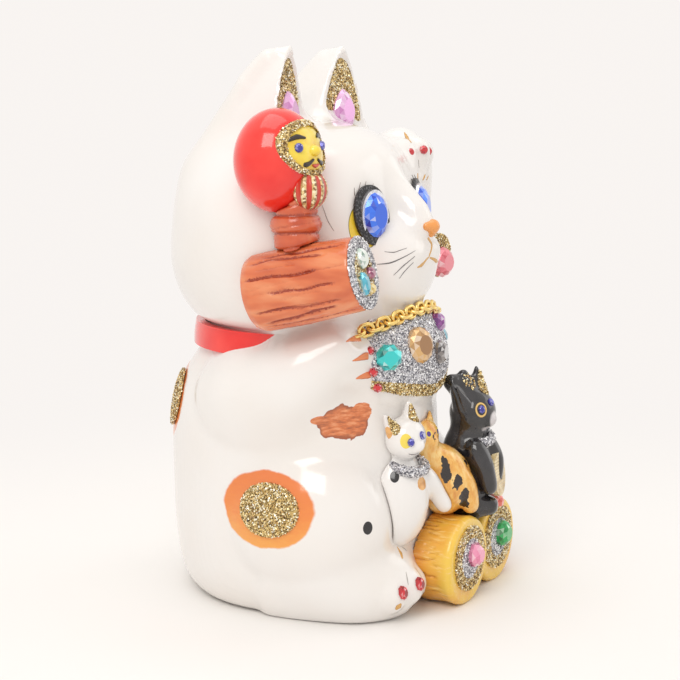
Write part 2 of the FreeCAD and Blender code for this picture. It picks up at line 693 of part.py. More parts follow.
chest_coat = ellipsoid(CHEST_CENTRE, tuple(r + COAT for r in CHEST_RADII))
front_of_belly = egg_loft(TORSO_ROWS, COAT)
bib_blank = chest_coat.common(prism(BIB_OUTLINE, -60.0, -8.0))
hem_blank = chest_coat.multiFuse([front_of_belly]).common(prism(BIB_OUTLINE, -60.0, -8.0))
hem_blank = hem_blank.common(prism(HEM_OUTLINE, -60.0, -8.0))
bib_hem = seated(hem_blank, torso_solid, right_arm, left_arm, head_solid)
bib_silver = seated(bib_blank, torso_solid, right_arm, left_arm, head_solid, bib_hem, collar)
keep("bib_silver_glitter", bib_silver)
keep("bib_gold_hem", bib_hem)

INSIDE_CHEST = (0.0, -10.0, 84.0)
bib_host = bib_silver.multiFuse([torso_solid, bib_hem])
bib_stones = []
for kind, a, b, crown, out, count in (
    ("octagon", 4.4, 4.4, 2.2, (-1.04, -1.0, 0.1), 8),
    ("oval", 5.2, 5.9, 2.2, (-0.32, -1.0, 0.18), 12),
    ("oval", 3.6, 4.0, 1.8, (0.12, -1.0, 0.02), 12),
    ("octagon", 4.1, 4.1, 2.0, (1.7, -1.0, 0.1), 8),
):
    bib_stones.append(set_on(gem(kind, a, b, crown, count, 1.6), bib_host, INSIDE_CHEST, out))
keep("bib_stones", bib_stones)

# ---- neck chain ----------------------------------------------------------------------------------

LINK_BEND = 1.8  # radius of the middle line of a link's ends
LINK_STRAIGHT = 1.15
LINK_TILT = 30.0
CHAIN_PITCH = 3.1
CHAIN_CENTRE_Z = 98.0
CHAIN_DROP = 5.0
CHAIN_HALF_SPAN = 24.0


def chain_link():
    """A flat oval link about the origin, its length along X and its width along Y."""
    wire = CHAIN_WIRE / 2
    parts = []
    for side in (-1, 1):
        end = Part.makeTorus(LINK_BEND, wire, V(0, 0, 0), V(0, 0, 1), -180, 180, 180)
        end.rotate(V(0, 0, 0), V(0, 0, 1), -90 if side > 0 else 90)
        end.translate(V(side * LINK_STRAIGHT / 2, 0, 0))
        parts.append(end)
        start = V(-LINK_STRAIGHT / 2, side * LINK_BEND, 0)
        parts.append(Part.makeCylinder(wire, LINK_STRAIGHT, start, V(1, 0, 0)))
    return fused(*parts)


def chest_point(x):
    """A point of the chain's line on the coated chest, and the way out of the chest there."""
    z = CHAIN_CENTRE_Z - CHAIN_DROP * (x / CHAIN_HALF_SPAN) ** 2
    a, b, c = [r + COAT for r in CHEST_RADII]
    share = 1 - (x / a) ** 2 - ((z - CHEST_CENTRE.z) / c) ** 2
    y = CHEST_CENTRE.y - b * math.sqrt(max(share, 0.0))
    out = V(x / a**2, (y - CHEST_CENTRE.y) / b**2, (z - CHEST_CENTRE.z) / c**2)
    out.normalize()
    return V(x, y, z), out


chain_rise = LINK_BEND * math.sin(math.radians(LINK_TILT)) + CHAIN_WIRE / 2 - 0.15
centres = []
x = -CHAIN_HALF_SPAN
while x < CHAIN_HALF_SPAN:
    here, out = chest_point(x)
    here = here + out * chain_rise
    if not centres or (here - centres[-1][0]).Length >= CHAIN_PITCH:
        centres.append((here, out))
    x += 0.02
link_blank = chain_link()
links = []
for i, (centre, out) in enumerate(centres):
    before = centres[max(i - 1, 0)][0]
    after = centres[min(i + 1, len(centres) - 1)][0]
    along = after - before
    along.normalize()
    link = link_blank.copy()
    link.rotate(V(0, 0, 0), V(1, 0, 0), LINK_TILT if i % 2 else -LINK_TILT)
    turn = FreeCAD.Rotation(along, out.cross(along), out, "XZY")
    link.Placement = FreeCAD.Placement(centre, turn).multiply(link.Placement)
    links.append(seated(link, bib_silver, torso_solid, right_arm, left_arm, head_solid))
keep("neck_chain", links)

purple = gem("oval", 3.0, 3.3, 2.0, 10)
purple_stone = seated(set_on(purple, bib_host, (6.0, -20.0, 91.6), (0.31, -0.85, 0.1)), *links, head_solid)
keep("throat_stone", purple_stone)

# ---- eyes ----------------------------------------------------------------------------------------

head_coat = egg_loft(HEAD_ROWS, COAT + 0.2)
EYE_RING = 2.2
bezels = []
eye_jewels = []
eye_rings = []
for side in (-1, 1):
    turn = math.radians(EYE_TURN)
    out = V(side * math.sin(turn), -math.cos(turn), 0.06)
    out.normalize()
    spot = surface_point(head_solid, V(side * (EYE_X - 3.0), -4.0, EYE_Z), out)
    deep = spot - out * 5.0
    jewel = gem("oval", EYE_STONE[0], EYE_STONE[1], 2.4, 16, 5.0, 0.9)
    jewel = seated(facing(jewel, spot, out), head_solid)
    socket = oval_column(deep, out, EYE_STONE[0] + EYE_BEZEL, EYE_STONE[1] + EYE_BEZEL, 5.9)
    bezel = seated(socket, jewel, head_solid)
    patch = oval_column(deep - out * 3, out, EYE_STONE[0] + EYE_RING, EYE_STONE[1] + EYE_RING, 14.0)
    patch.translate(V(side * 0.9, 0, 0.3))
    eye_rings.append(seated(largest(head_coat.common(patch)), head_solid, socket, jewel))
    bezels.append(bezel)
    eye_jewels.append(jewel)
keep("eye_stones", eye_jewels)
keep("eye_bezels", bezels)
keep("eye_black_rings", eye_rings)
keep("head_casting", largest(head_casting))

nose_tip = ellipsoid((0, -32.6, 123.2), (3.4, 2.8, 2.4))
keep("nose", seated(nose_tip, head_solid))

# ---- glitter on the spots ------------------------------------------------------------------------

haunch_at = (-HAUNCH_CENTRE.x, HAUNCH_CENTRE.y, HAUNCH_CENTRE.z)
haunch_shell = ellipsoid(haunch_at, tuple(r + COAT for r in HAUNCH_RADII))
window = oval_column(V(-30.0, HAUNCH_DISC_Y, HAUNCH_DISC_Z), V(-1, 0, 0), *HAUNCH_DISC, 40)
keep("haunch_glitter", seated(largest(haunch_shell.common(window)), torso_solid))
back_way = V(-math.sin(math.radians(180 - BACK_DISC_AZ)), math.cos(math.radians(180 - BACK_DISC_AZ)), 0)
window = oval_column(V(0, AXIS_Y, BACK_DISC_Z) + back_way * 20, back_way, *BACK_DISC, 60)
back_coat = seated(largest(front_of_belly.common(window)), torso_solid, right_arm)
keep("back_glitter", back_coat)

# ---- small stones on paws and toes ---------------------------------------------------------------

nail = gem("oval", NAIL_STONE / 2, NAIL_STONE / 2, 0.9, 8, 1.6, 0.4)
nail_host = bib_silver.multiFuse([bib_hem, torso_solid, right_arm])
NAIL_ROW = [(-14.0, -16.3, 92.0), (-14.0, -18.9, 86.8), (-14.0, -20.2, 80.2), (-14.0, -21.8, 75.2)]
paw_stones = []
for inside in NAIL_ROW:
    paw_stones.append(seated(set_on(nail, nail_host, inside, (-0.86, -0.5, 0.12)), *links))
keep("paw_stones", paw_stones)

raised_stones = []
for (cx, cy, cz), _ in LEFT_FINGERS:
    raised_nail = set_on(nail, left_arm, (cx, cy + 2.0, cz + 0.5), (-0.35, -1.0, 0.1))
    raised_stones.append(seated(raised_nail, head_solid))
keep("raised_paw_stones", raised_stones)

toe_nail = gem("oval", 1.7, 2.3, 0.9, 8, 1.6, 0.4)
toe_stones = []
for (cx, cy, cz), _ in RIGHT_TOES[:2]:
    toe_stones.append(set_on(toe_nail, right_foot, (cx, cy + 3.0, cz + 1.0), (-0.12, -1.0, 0.1)))
keep("toe_stones", toe_stones)

# the charm on the raised forearm: a bed of gold glitter and a pink stone
CHARM_Z = 108.6
charm_way = V(-0.2, -1.0, 0.0)
charm_way.normalize()
charm_spot = surface_point(left_arm, V(48.6, -2.0, CHARM_Z), charm_way)
charm_bed = oval_column(charm_spot - charm_way * 4.0 + V(0, 0, 1.8), charm_way, 6.0, 7.6, 8.6)
charm_bed = seated(charm_bed, left_arm, head_solid)
charm_face = charm_spot + charm_way * 4.6 + V(0, 0, -0.6)
charm_stone = facing(stone("oval", 5.0, 5.4, 1.2, 2.8, 12), charm_face, charm_way)
keep("charm_glitter", charm_bed)
keep("charm_stone", charm_stone)

# ---- kitten trimmings ----------------------------------------------------------------------------

koban_way = V(0.1, -1.0, 0.1)
koban = oval_column(V(23.0, -47.2, 40.4), koban_way, 5.4, 7.4, 1.8)
koban = seated(koban, black_body, far_bale, near_bale)
keep("koban", koban)

collars = []
for centre, ring, tube, own in (((-12.6, -32.4, 50.0), 5.6, 1.7, (white_head, white_body)),
                                ((21.0, -39.6, 53.6), 6.2, 1.6, (black_head, black_body))):
    band = Part.makeTorus(ring, tube, V(*centre), V(-0.1, -0.25, 1.0))
    collars.append(seated(band, *own, torso_solid, right_arm, gold_body, gold_head, white_body))
keep("kitten_collars", collars)

EAR_COAT = 0.5
kitten_ear_coats = []
for skull, head, look, (ear_h, spread), r in (
    (white_head, WHITE_HEAD, WHITE_LOOK, WHITE_EARS, WHITE_HEAD_RADIUS),
    (black_head, BLACK_HEAD, BLACK_LOOK, BLACK_EARS, BLACK_HEAD_RADIUS),
):
    side_way = V(-look.y, look.x, 0)
    for side in (-1, 1):
        lean = side_way * (side * 0.28) + V(0, 0, 1)
        lean.normalize()
        root = V(*head) + side_way * (side * spread) + V(0, 0, 0.55 * r) + look * (0.15 * r + EAR_COAT)
        pad = Part.makeCone(0.34 * r, 0.3, 0.8 * ear_h, root, lean)
        kitten_ear_coats.append(seated(tilted(pad, head, look, HEAD_TILT), skull))
keep("kitten_ear_glitter", kitten_ear_coats)

kitten_eyes = []
for skull, head, look, rise in (
    (white_head, WHITE_HEAD, WHITE_LOOK, 0.14),
    (black_head, BLACK_HEAD, BLACK_LOOK, 0.5),
):
    side_way = V(-look.y, look.x, 0)
    for side in (-1, 1):
        way = look + side_way * (side * 0.38) + V(0, 0, rise)
        way = FreeCAD.Rotation(look, HEAD_TILT).multVec(way)
        kitten_eyes.append(set_on(gem("oval", 1.2, 1.4, 0.6, 8, 0.8, 0.3), skull, head, tuple(way)))
keep("kitten_eye_stones", kitten_eyes)

os.makedirs("parts", exist_ok=True)
for name, shape in pieces.items():
    shape.exportStep("parts/" + name + ".step")
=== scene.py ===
"""Beckoning cat figurine: its looks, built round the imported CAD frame.

Metres, +Z up, the cat looks along -Y. The ceramic castings are glazed over in one coat, so their
CAD nodes are blended here into smooth glazed skins. The stones, chain, bezels and other trim keep
their CAD shapes and get materials. Glitter is real flakes on its CAD coats.
"""

import json
import math

import bpy
import numpy as np
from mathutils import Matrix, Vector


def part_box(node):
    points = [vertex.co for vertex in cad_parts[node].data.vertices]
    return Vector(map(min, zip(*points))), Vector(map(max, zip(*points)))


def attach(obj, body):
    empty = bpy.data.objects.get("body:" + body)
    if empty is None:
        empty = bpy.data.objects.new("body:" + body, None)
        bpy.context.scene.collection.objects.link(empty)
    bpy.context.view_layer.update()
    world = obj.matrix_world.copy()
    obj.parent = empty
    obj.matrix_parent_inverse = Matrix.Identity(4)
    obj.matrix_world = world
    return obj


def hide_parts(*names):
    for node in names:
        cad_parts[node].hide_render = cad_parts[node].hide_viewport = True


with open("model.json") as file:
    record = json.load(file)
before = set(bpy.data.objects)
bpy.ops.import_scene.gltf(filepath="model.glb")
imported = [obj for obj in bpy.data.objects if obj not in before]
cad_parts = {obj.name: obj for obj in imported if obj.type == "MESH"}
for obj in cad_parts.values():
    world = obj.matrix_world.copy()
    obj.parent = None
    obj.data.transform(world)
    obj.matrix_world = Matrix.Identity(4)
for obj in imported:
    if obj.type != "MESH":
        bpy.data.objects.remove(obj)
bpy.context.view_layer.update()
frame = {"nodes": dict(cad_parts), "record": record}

import openvdb as vdb
from mathutils import Vector
from mathutils.bvhtree import BVHTree

MM = 0.001
SEED = 7

# ---- camera: the photograph's viewing angle ----------------------------------

CAMERA_AZIMUTH = -60.0
CAMERA_DISTANCE = 0.5282
CAMERA_HEIGHT = 0.1799
CAMERA_PITCH = 10.1
CAMERA_LENS = 84.7
CAMERA_CLIP = (0.02, 20.0)


def make_camera():
    turn = math.radians(CAMERA_AZIMUTH)
    pitch = math.radians(CAMERA_PITCH)
    back = Vector((math.sin(turn), -math.cos(turn), 0.0))
    camera = bpy.data.objects.new("camera", bpy.data.cameras.new("camera"))
    bpy.context.scene.collection.objects.link(camera)
    camera.location = back * CAMERA_DISTANCE + Vector((0, 0, CAMERA_HEIGHT))
    ahead = -back * math.cos(pitch) - Vector((0, 0, math.sin(pitch)))
    camera.rotation_euler = ahead.to_track_quat("-Z", "Y").to_euler()
    camera.data.lens = CAMERA_LENS
    camera.data.clip_start, camera.data.clip_end = CAMERA_CLIP
    bpy.context.scene.camera = camera


make_camera()

# ---- shader helpers ----------------------------------------------------------


class Shader:
    """A material under construction. A value is a socket, or a plain number or colour."""

    def __init__(self, name):
        self.material = bpy.data.materials.new(name)
        self.material.use_nodes = True
        self.tree = self.material.node_tree
        self.bsdf = self.tree.nodes["Principled BSDF"]

    def node(self, kind, **settings):
        made = self.tree.nodes.new(kind)
        for key, value in settings.items():
            setattr(made, key, value)
        return made

    def feed(self, socket, value):
        if isinstance(value, bpy.types.NodeSocket):
            self.tree.links.new(value, socket)
        elif hasattr(socket.default_value, "__len__") and not hasattr(value, "__len__"):
            socket.default_value = [value] * len(socket.default_value)
        elif hasattr(value, "__len__") and len(socket.default_value) == 4 and len(value) == 3:
            socket.default_value = (*value, 1.0)
        else:
            socket.default_value = value

    def set(self, **values):
        for key, value in values.items():
            self.feed(self.bsdf.inputs[key.replace("_", " ")], value)
        return self

    def place(self):
        return self.node("ShaderNodeTexCoord").outputs["Object"]

    def math(self, operation, a, b=0.0, clamp=False):
        made = self.node("ShaderNodeMath", operation=operation, use_clamp=clamp)
        for socket, value in zip(made.inputs, (a, b)):
            self.feed(socket, value)
        return made.outputs[0]

    def vector(self, operation, a, b=(0, 0, 0)):
        made = self.node("ShaderNodeVectorMath", operation=operation)
        self.feed(made.inputs[0], a)
        self.feed(made.inputs[1], b)
        return made.outputs["Value" if operation == "LENGTH" else "Vector"]

    def split(self, value):
        made = self.node("ShaderNodeSeparateXYZ")
        self.feed(made.inputs[0], value)
        return made.outputs

    def noise(self, where, scale, detail=2.0, roughness=0.5):
        made = self.node("ShaderNodeTexNoise")
        self.feed(made.inputs["Vector"], where)
        made.inputs["Scale"].default_value = scale
        made.inputs["Detail"].default_value = detail
        made.inputs["Roughness"].default_value = roughness
        return made.outputs["Fac"]

    def cells(self, scale):
        """A random value for each small cell of space."""
        made = self.node("ShaderNodeTexVoronoi")
        self.feed(made.inputs["Vector"], self.place())
        made.inputs["Scale"].default_value = scale
        return self.split(made.outputs["Color"])[0]

    def step(self, value, low, high):
        """0 below low and 1 above high, with a soft edge between."""
        made = self.node("ShaderNodeMapRange", interpolation_type="SMOOTHSTEP")
        self.feed(made.inputs["Value"], value)
        made.inputs["From Min"].default_value = low
        made.inputs["From Max"].default_value = high
        return made.outputs["Result"]

    def ramp(self, value, stops):
        made = self.node("ShaderNodeValToRGB")
        while len(made.color_ramp.elements) < len(stops):
            made.color_ramp.elements.new(0.5)
        for element, (at, colour) in zip(made.color_ramp.elements, stops):
            element.position = at
            element.color = (*colour, 1.0)
        self.feed(made.inputs["Fac"], value)
        return made.outputs["Color"]

    def mix(self, share, a, b):
        made = self.node("ShaderNodeMix", data_type="RGBA")
        self.feed(made.inputs["Factor"], share)
        self.feed(made.inputs["A"], a)
        self.feed(made.inputs["B"], b)
        return made.outputs["Result"]

    def bump(self, height, distance, strength):
        made = self.node("ShaderNodeBump")
        made.inputs["Strength"].default_value = strength
        made.inputs["Distance"].default_value = distance
        self.feed(made.inputs["Height"], height)
        self.feed(self.bsdf.inputs["Normal"], made.outputs["Normal"])

    def stored(self, label):
        return self.node("ShaderNodeAttribute", attribute_name=label).outputs["Fac"]

    def island(self):
        return self.node("ShaderNodeNewGeometry").outputs["Random Per Island"]

    def facet(self, salt=0.0):
        """A random value for each flat facet, worked out from the way the facet faces."""
        normal = self.node("ShaderNodeNewGeometry").outputs["True Normal"]
        moved = self.vector("ADD", normal, (salt + 3.0, 3.1, 3.2))
        snapped = self.vector("SNAP", moved, (0.06, 0.06, 0.06))
        made = self.node("ShaderNodeTexWhiteNoise", noise_dimensions="3D")
        self.feed(made.inputs["Vector"], snapped)
        return made.outputs["Value"]


# ---- colours (linear) --------------------------------------------------------

WHITE_GLAZE = (0.865, 0.838, 0.812)
CREAM_GLAZE = (0.84, 0.795, 0.75)
BROWN = (0.68, 0.19, 0.06)
GOLD_PAINT = (0.66, 0.36, 0.10)
CLAW_PAINT = (0.78, 0.24, 0.09)
BLACK = (0.012, 0.011, 0.012)
YELLOW = (0.90, 0.66, 0.05)
DARK_STRAND = (0.022, 0.014, 0.012)
KITTEN_EYE = (0.90, 0.70, 0.10)
# flake colours run from painted shade through the metal's own colour to a near-white painted glint
GOLD_SHADE_TO_GLINT = ((0.20, 0.08, 0.02), (0.72, 0.46, 0.14), (0.98, 0.78, 0.36), (1.0, 0.92, 0.62),
              (1.0, 0.99, 0.90))
SILVER_SHADE_TO_GLINT = ((0.12, 0.10, 0.12), (0.60, 0.58, 0.60), (0.92, 0.91, 0.93), (1.0, 1.0, 1.0),
                (1.0, 1.0, 1.0))


def glazed(name, colour, roughness, coat=0.5):
    """Glossy glaze: a colour under a clear coat whose surface is a little uneven."""
    shader = Shader(name)
    shader.set(Base_Color=colour, Roughness=roughness, Coat_Weight=coat, Coat_Roughness=0.07)
    shader.bump(shader.noise(shader.place(), 55.0, 3.0, 0.55), 0.00012, 0.6)
    return shader


def spot_distance(shader, where, centre, reach, rough=0.12, grain=160.0):
    """Distance from a painted spot's centre, 1 at its ragged edge; reach is a half size per axis."""
    wander = shader.math("SUBTRACT", shader.noise(where, grain, 3.0), 0.5)
    wander = shader.math("MULTIPLY", wander, rough * 2)
    off = shader.vector("DIVIDE", shader.vector("SUBTRACT", where, centre), reach)
    return shader.math("ADD", shader.vector("LENGTH", off), wander)


def dab(shader, colour, where, centre, reach, paint, rough=0.12, grain=160.0, edge=0.03):
    """Lays a spot of paint over a colour."""
    away = spot_distance(shader, where, centre, reach, rough, grain)
    return shader.mix(shader.step(away, 1.0 + edge, 1.0 - edge), colour, paint)


def mm(*values):
    return tuple(v * MM for v in values)


def rise(values, start, over):
    """0 up to start, then a straight climb to 1 over a distance."""
    return np.clip((values - start) / over, 0, 1)


# ---- meshes of the frame -----------------------------------------------------

nodes = frame["nodes"]


def mesh_arrays(mesh):
    """A mesh's points and its triangles' corners."""
    mesh.calc_loop_triangles()
    points = np.empty(len(mesh.vertices) * 3, np.float32)
    mesh.vertices.foreach_get("co", points)
    corners = np.empty(len(mesh.loop_triangles) * 3, np.int32)
    mesh.loop_triangles.foreach_get("vertices", corners)
    return points.reshape(-1, 3), corners.reshape(-1, 3)


def triangles_of(mesh):
    """The corners, ways out and areas of a mesh's triangles, slivers left out."""
    points, corners = mesh_arrays(mesh)
    a, b, c = (points[corners[:, i]] for i in range(3))
    normal = np.cross(b - a, c - a)
    area = np.linalg.norm(normal, axis=1)
    keep = area > 1e-12
    return a[keep], b[keep], c[keep], normal[keep] / area[keep][:, None], area[keep] / 2


def nearest(point, centres):
    """Which of several centres a point is nearest to."""
    gaps = [(point - Vector(centre)).length for centre in centres]
    return gaps.index(min(gaps))


def add_mesh(name, points, faces, material=None, smooth=True):
    """A mesh object. faces is an integer array with one row per face, or a list of such arrays."""
    blocks = faces if isinstance(faces, list) else [faces]
    blocks = [np.asarray(b, np.int32) for b in blocks if len(b)]
    mesh = bpy.data.meshes.new(name)
    mesh.vertices.add(len(points))
    mesh.vertices.foreach_set("co", np.asarray(points, np.float32).ravel())
    mesh.loops.add(sum(b.size for b in blocks))
    mesh.loops.foreach_set("vertex_index", np.concatenate([b.ravel() for b in blocks]))
    sizes = np.concatenate([np.full(len(b), b.shape[1], np.int32) for b in blocks])
    starts = np.concatenate([[0], np.cumsum(sizes)[:-1]]).astype(np.int32)
    mesh.polygons.add(len(sizes))
    mesh.polygons.foreach_set("loop_start", starts)
    mesh.polygons.foreach_set("loop_total", sizes)
    mesh.polygons.foreach_set("use_smooth", np.full(len(sizes), smooth, bool))
    mesh.update(calc_edges=True)
    mesh.validate()
    obj = bpy.data.objects.new(name, mesh)
    bpy.context.scene.collection.objects.link(obj)
    if material is not None:
        mesh.materials.append(material.material if isinstance(material, Shader) else material)
    return obj


# ---- distance fields: how the castings are blended into one glazed skin ------


class Field:
    """Signed distances on a grid round some CAD nodes, negative inside."""

    def __init__(self, names, voxel, band, pad=4):
        low = np.min([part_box(n)[0] for n in names], axis=0)
        high = np.max([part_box(n)[1] for n in names], axis=0)
        self.voxel = voxel
        self.band = band
        self.start = np.floor(low / voxel).astype(int) - pad
        self.shape = tuple(np.ceil(high / voxel).astype(int) + pad - self.start)

    def axes(self):
        axes = [(np.arange(n) + s) * self.voxel for n, s in zip(self.shape, self.start)]
        return np.meshgrid(*axes, indexing="ij", sparse=True)

    def node(self, *names):
        """The distance to the union of nodes."""
        result = None
        for name in names:
            points, corners = mesh_arrays(nodes[name].data)
            grid = vdb.FloatGrid.createLevelSetFromPolygons(
                points, triangles=corners.astype(np.uint32),
                transform=vdb.createLinearTransform(voxelSize=self.voxel), halfWidth=self.band)
            values = np.empty(self.shape, np.float32)
            grid.copyToArray(values, ijk=tuple(int(v) for v in self.start))
            result = values if result is None else np.minimum(result, values)
        return result

    def tube(self, points, radii):
        """The distance to a limb through points with a radius at each."""
        x, y, z = self.axes()
        best = None
        pieces = zip(points[:-1], points[1:], radii[:-1], radii[1:])
        for (ax, ay, az), (bx, by, bz), ra, rb in pieces:
            dx, dy, dz = bx - ax, by - ay, bz - az
            along = ((x - ax) * dx + (y - ay) * dy + (z - az) * dz) / (dx * dx + dy * dy + dz * dz)
            along = np.clip(along, 0.0, 1.0)
            off = (x - ax - along * dx, y - ay - along * dy, z - az - along * dz)
            gap = np.sqrt(off[0] ** 2 + off[1] ** 2 + off[2] ** 2)
            gap = gap - (ra + (rb - ra) * along)
            best = gap if best is None else np.minimum(best, gap)
        return best.astype(np.float32)

    def polygons(self, values):
        """The points and the faces of the surface where a field is 0."""
        grid = vdb.FloatGrid(float(values.max()))
        values = np.ascontiguousarray(values, np.float32)
        grid.copyFromArray(values, ijk=tuple(int(v) for v in self.start))
        grid.transform = vdb.createLinearTransform(voxelSize=self.voxel)
        points, triangles, quads = grid.convertToPolygons(isovalue=0.0, adaptivity=0.0)
        return points, [np.asarray(f) for f in (triangles, quads) if len(f)]

    def surface(self, name, values, material):
        return add_mesh(name, *self.polygons(values), material)

    def store(self, obj, label, values):
        """Keeps a field's value at each vertex of a mesh, for its material to read."""
        points, _ = mesh_arrays(obj.data)
        at = np.rint(points / self.voxel).astype(int) - self.start
        at = np.clip(at, 0, np.array(self.shape) - 1)
        layer = obj.data.attributes.new(label, "FLOAT", "POINT")
        layer.data.foreach_set("value", values[tuple(at.T)].astype(np.float32))
        return obj


def blur(values, times, reach=1):
    """Softens creases: each pass spreads a value to its neighbours reach voxels away."""
    for _ in range(times):
        for axis in range(3):
            count = values.shape[axis]
            before = values.take(np.maximum(np.arange(count) - reach, 0), axis)
            after = values.take(np.minimum(np.arange(count) + reach, count - 1), axis)
            values = 0.5 * values + 0.25 * (before + after)
    return values


def half(points, blocks, level, above, apex):
    """A skin above or below a level, closed by a cone from the rim to an apex inside."""
    kept = [b[(points[b][:, :, 2].mean(1) > level) == above] for b in blocks]
    kept = [b for b in kept if len(b)]
    edges = set()
    for b in kept:
        edges.update(map(tuple, np.stack([b, np.roll(b, -1, 1)], 2).reshape(-1, 2).tolist()))
    rim = sorted((a, b) for a, b in edges if (b, a) not in edges)
    points = np.vstack([points, apex])
    kept.append(np.array([(b, a, len(points) - 1) for a, b in rim]))
    used, order = np.unique(np.concatenate([b.ravel() for b in kept]), return_inverse=True)
    parts = np.split(order.ravel(), np.cumsum([b.size for b in kept])[:-1])
    return points[used], [part.reshape(b.shape) for part, b in zip(parts, kept)]


def join(a, b, width):
    """The union of two fields with a fillet about as wide as width."""
    share = np.maximum(width - np.abs(a - b), 0.0) / width
    return np.minimum(a, b) - share * share * width * 0.25


def filled(values):
    """Fills what is closed off within each level, such as the hollow inside a casting."""
    outside = np.zeros(values.shape, bool)
    free = values > 0
    outside[0], outside[-1] = free[0], free[-1]
    outside[:, 0], outside[:, -1] = free[:, 0], free[:, -1]
    for _ in range(6):
        for axis in (0, 1):
            for way in (1, -1):
                reached = outside.swapaxes(0, axis)[::way]
                passable = free.swapaxes(0, axis)[::way]
                for i in range(1, len(reached)):
                    reached[i] |= reached[i - 1] & passable[i]
    return np.where(free & ~outside, -np.abs(values) - 0.2 * MM, values)


# ---- the cat's glazed skin ---------------------------------------------------

FINE_VOXEL = 0.85 * MM
SKIN_VOXEL = FINE_VOXEL
SKIN_BAND = 9
SKIN_SEAM_Z = 89.0 * MM  # the two skins share their points here; the collar covers it at the back
SKIN_FOOT_Z = 0.01 * MM
LOWER_APEX = mm(0.0, 14.0, 62.0)
UPPER_APEX = mm(0.0, 14.0, 116.0)
SHARP_ANGLE = math.radians(50)
LOWER_CASTINGS = ("torso_casting", "right_arm", "raised_left_arm", "right_foot", "left_foot")
UPPER_CASTINGS = ("head_casting", "ear_right", "ear_left")
# how many passes soften each casting at the fine voxel
HEAD_SOFT, TORSO_SOFT, ARM_SOFT, RAISED_SOFT, FEET_SOFT = 10, 8, 3, 2, 3
# the widths of the fillets
BRIDGE_JOIN, EAR_BACK_JOIN, FINGER_JOIN, EAR_JOIN = mm(5.0, 2.5, 1.6, 7.0)
ARM_JOIN, FEET_JOIN, RAISED_JOIN, NECK_JOIN, THROAT_JOIN = mm(7.0, 6.0, 4.0, 2.5, 2.0)
THROAT_Y = mm(8.0, -8.0)  # the neck's fillet widens from here to here
NOSE_BRIDGE = [mm(0.0, -16.5, 144.0), mm(0.0, -20.0, 139.5), mm(0.0, -24.2, 134.5),
               mm(0.0, -27.8, 130.2), mm(0.0, -29.6, 126.5)]
NOSE_BRIDGE_RADII = mm(3.5, 3.6, 4.2, 4.6, 4.8)
EAR_BACK = [(12.6, 179.7), (15.8, 178.0), (23.0, 169.6), (31.0, 158.4), (36.0, 148.0)]  # Y, Z
EAR_BACK_RADII = mm(2.7, 4.0, 6.6, 7.2, 6.5)
EAR_BACK_X = 18.0
RAISED_FINGERS = [(21.3, -12.6), (26.8, -14.2), (32.0, -12.8)]
FINGER_Z = (147.5, 139.5)
FINGER_RADII = mm(4.0, 2.6)
# the back of the head is rounded off strongly behind ROUND_Y and above ROUND_Z, over ROUND_RAMP
ROUND_PASSES, ROUND_REACH, ROUND_SINK = 9, 2.6 * MM, 0.4 * MM
ROUND_Y, ROUND_Z, ROUND_RAMP = mm(17.0, 112.0, 14.0)


def cat_skin():
    """Head and ears, and torso, arms and feet, as two closed glazed skins."""
    field = Field(LOWER_CASTINGS + UPPER_CASTINGS, SKIN_VOXEL, SKIN_BAND)

    def soft(passes, values):
        return blur(values, round(passes * (FINE_VOXEL / SKIN_VOXEL) ** 2))

    head = soft(HEAD_SOFT, filled(field.node("head_casting")))
    head = join(head, field.tube(NOSE_BRIDGE, NOSE_BRIDGE_RADII), BRIDGE_JOIN)
    ears = blur(field.node("ear_right", "ear_left"), 1)
    for x in (-EAR_BACK_X, EAR_BACK_X):
        back = field.tube([mm(x, y, z) for y, z in EAR_BACK], EAR_BACK_RADII)
        ears = join(ears, back, EAR_BACK_JOIN)
    torso = soft(TORSO_SOFT, filled(field.node("torso_casting")))
    arm = soft(ARM_SOFT, field.node("right_arm"))
    raised = soft(RAISED_SOFT, field.node("raised_left_arm"))
    for x, y in RAISED_FINGERS:
        finger = [mm(x, y, FINGER_Z[0]), mm(x - 0.6, y - 1.2, FINGER_Z[1])]
        raised = join(raised, field.tube(finger, FINGER_RADII), FINGER_JOIN)
    feet = soft(FEET_SOFT, field.node("right_foot", "left_foot"))
    head = join(head, ears, EAR_JOIN)
    rounded = blur(head, ROUND_PASSES, round(ROUND_REACH / SKIN_VOXEL)) - ROUND_SINK
    _, y, level = field.axes()
    share = rise(y, ROUND_Y, ROUND_RAMP) * rise(level, ROUND_Z, ROUND_RAMP)
    head = head + (rounded - head) * (share * share * (3 - 2 * share)).astype(np.float32)
    body = join(join(torso, arm, ARM_JOIN), feet, FEET_JOIN)
    front = rise(THROAT_Y[0] - y, 0.0, THROAT_Y[0] - THROAT_Y[1])
    whole = join(join(body, raised, RAISED_JOIN), head, NECK_JOIN + THROAT_JOIN * front)
    surface = field.polygons(np.maximum(whole, SKIN_FOOT_Z - level))
    skin = cat_glaze()
    lower = add_mesh("body_glaze", *half(*surface, SKIN_SEAM_Z, False, LOWER_APEX), skin)
    upper = add_mesh("head_glaze", *half(*surface, SKIN_SEAM_Z, True, UPPER_APEX), skin)
    for obj, castings in ((lower, LOWER_CASTINGS), (upper, UPPER_CASTINGS)):
        obj.data.set_sharp_from_angle(angle=SHARP_ANGLE)
        show(obj, "white_glaze", *castings)
    return lower, upper


def show(obj, slot, *replaced):
    """Ties a made piece to the frame: its body, and the CAD nodes it stands for, which it hides. The
    slot is not used.
    """
    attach(obj, "root")
    if replaced:
        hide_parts(*replaced)
    return obj


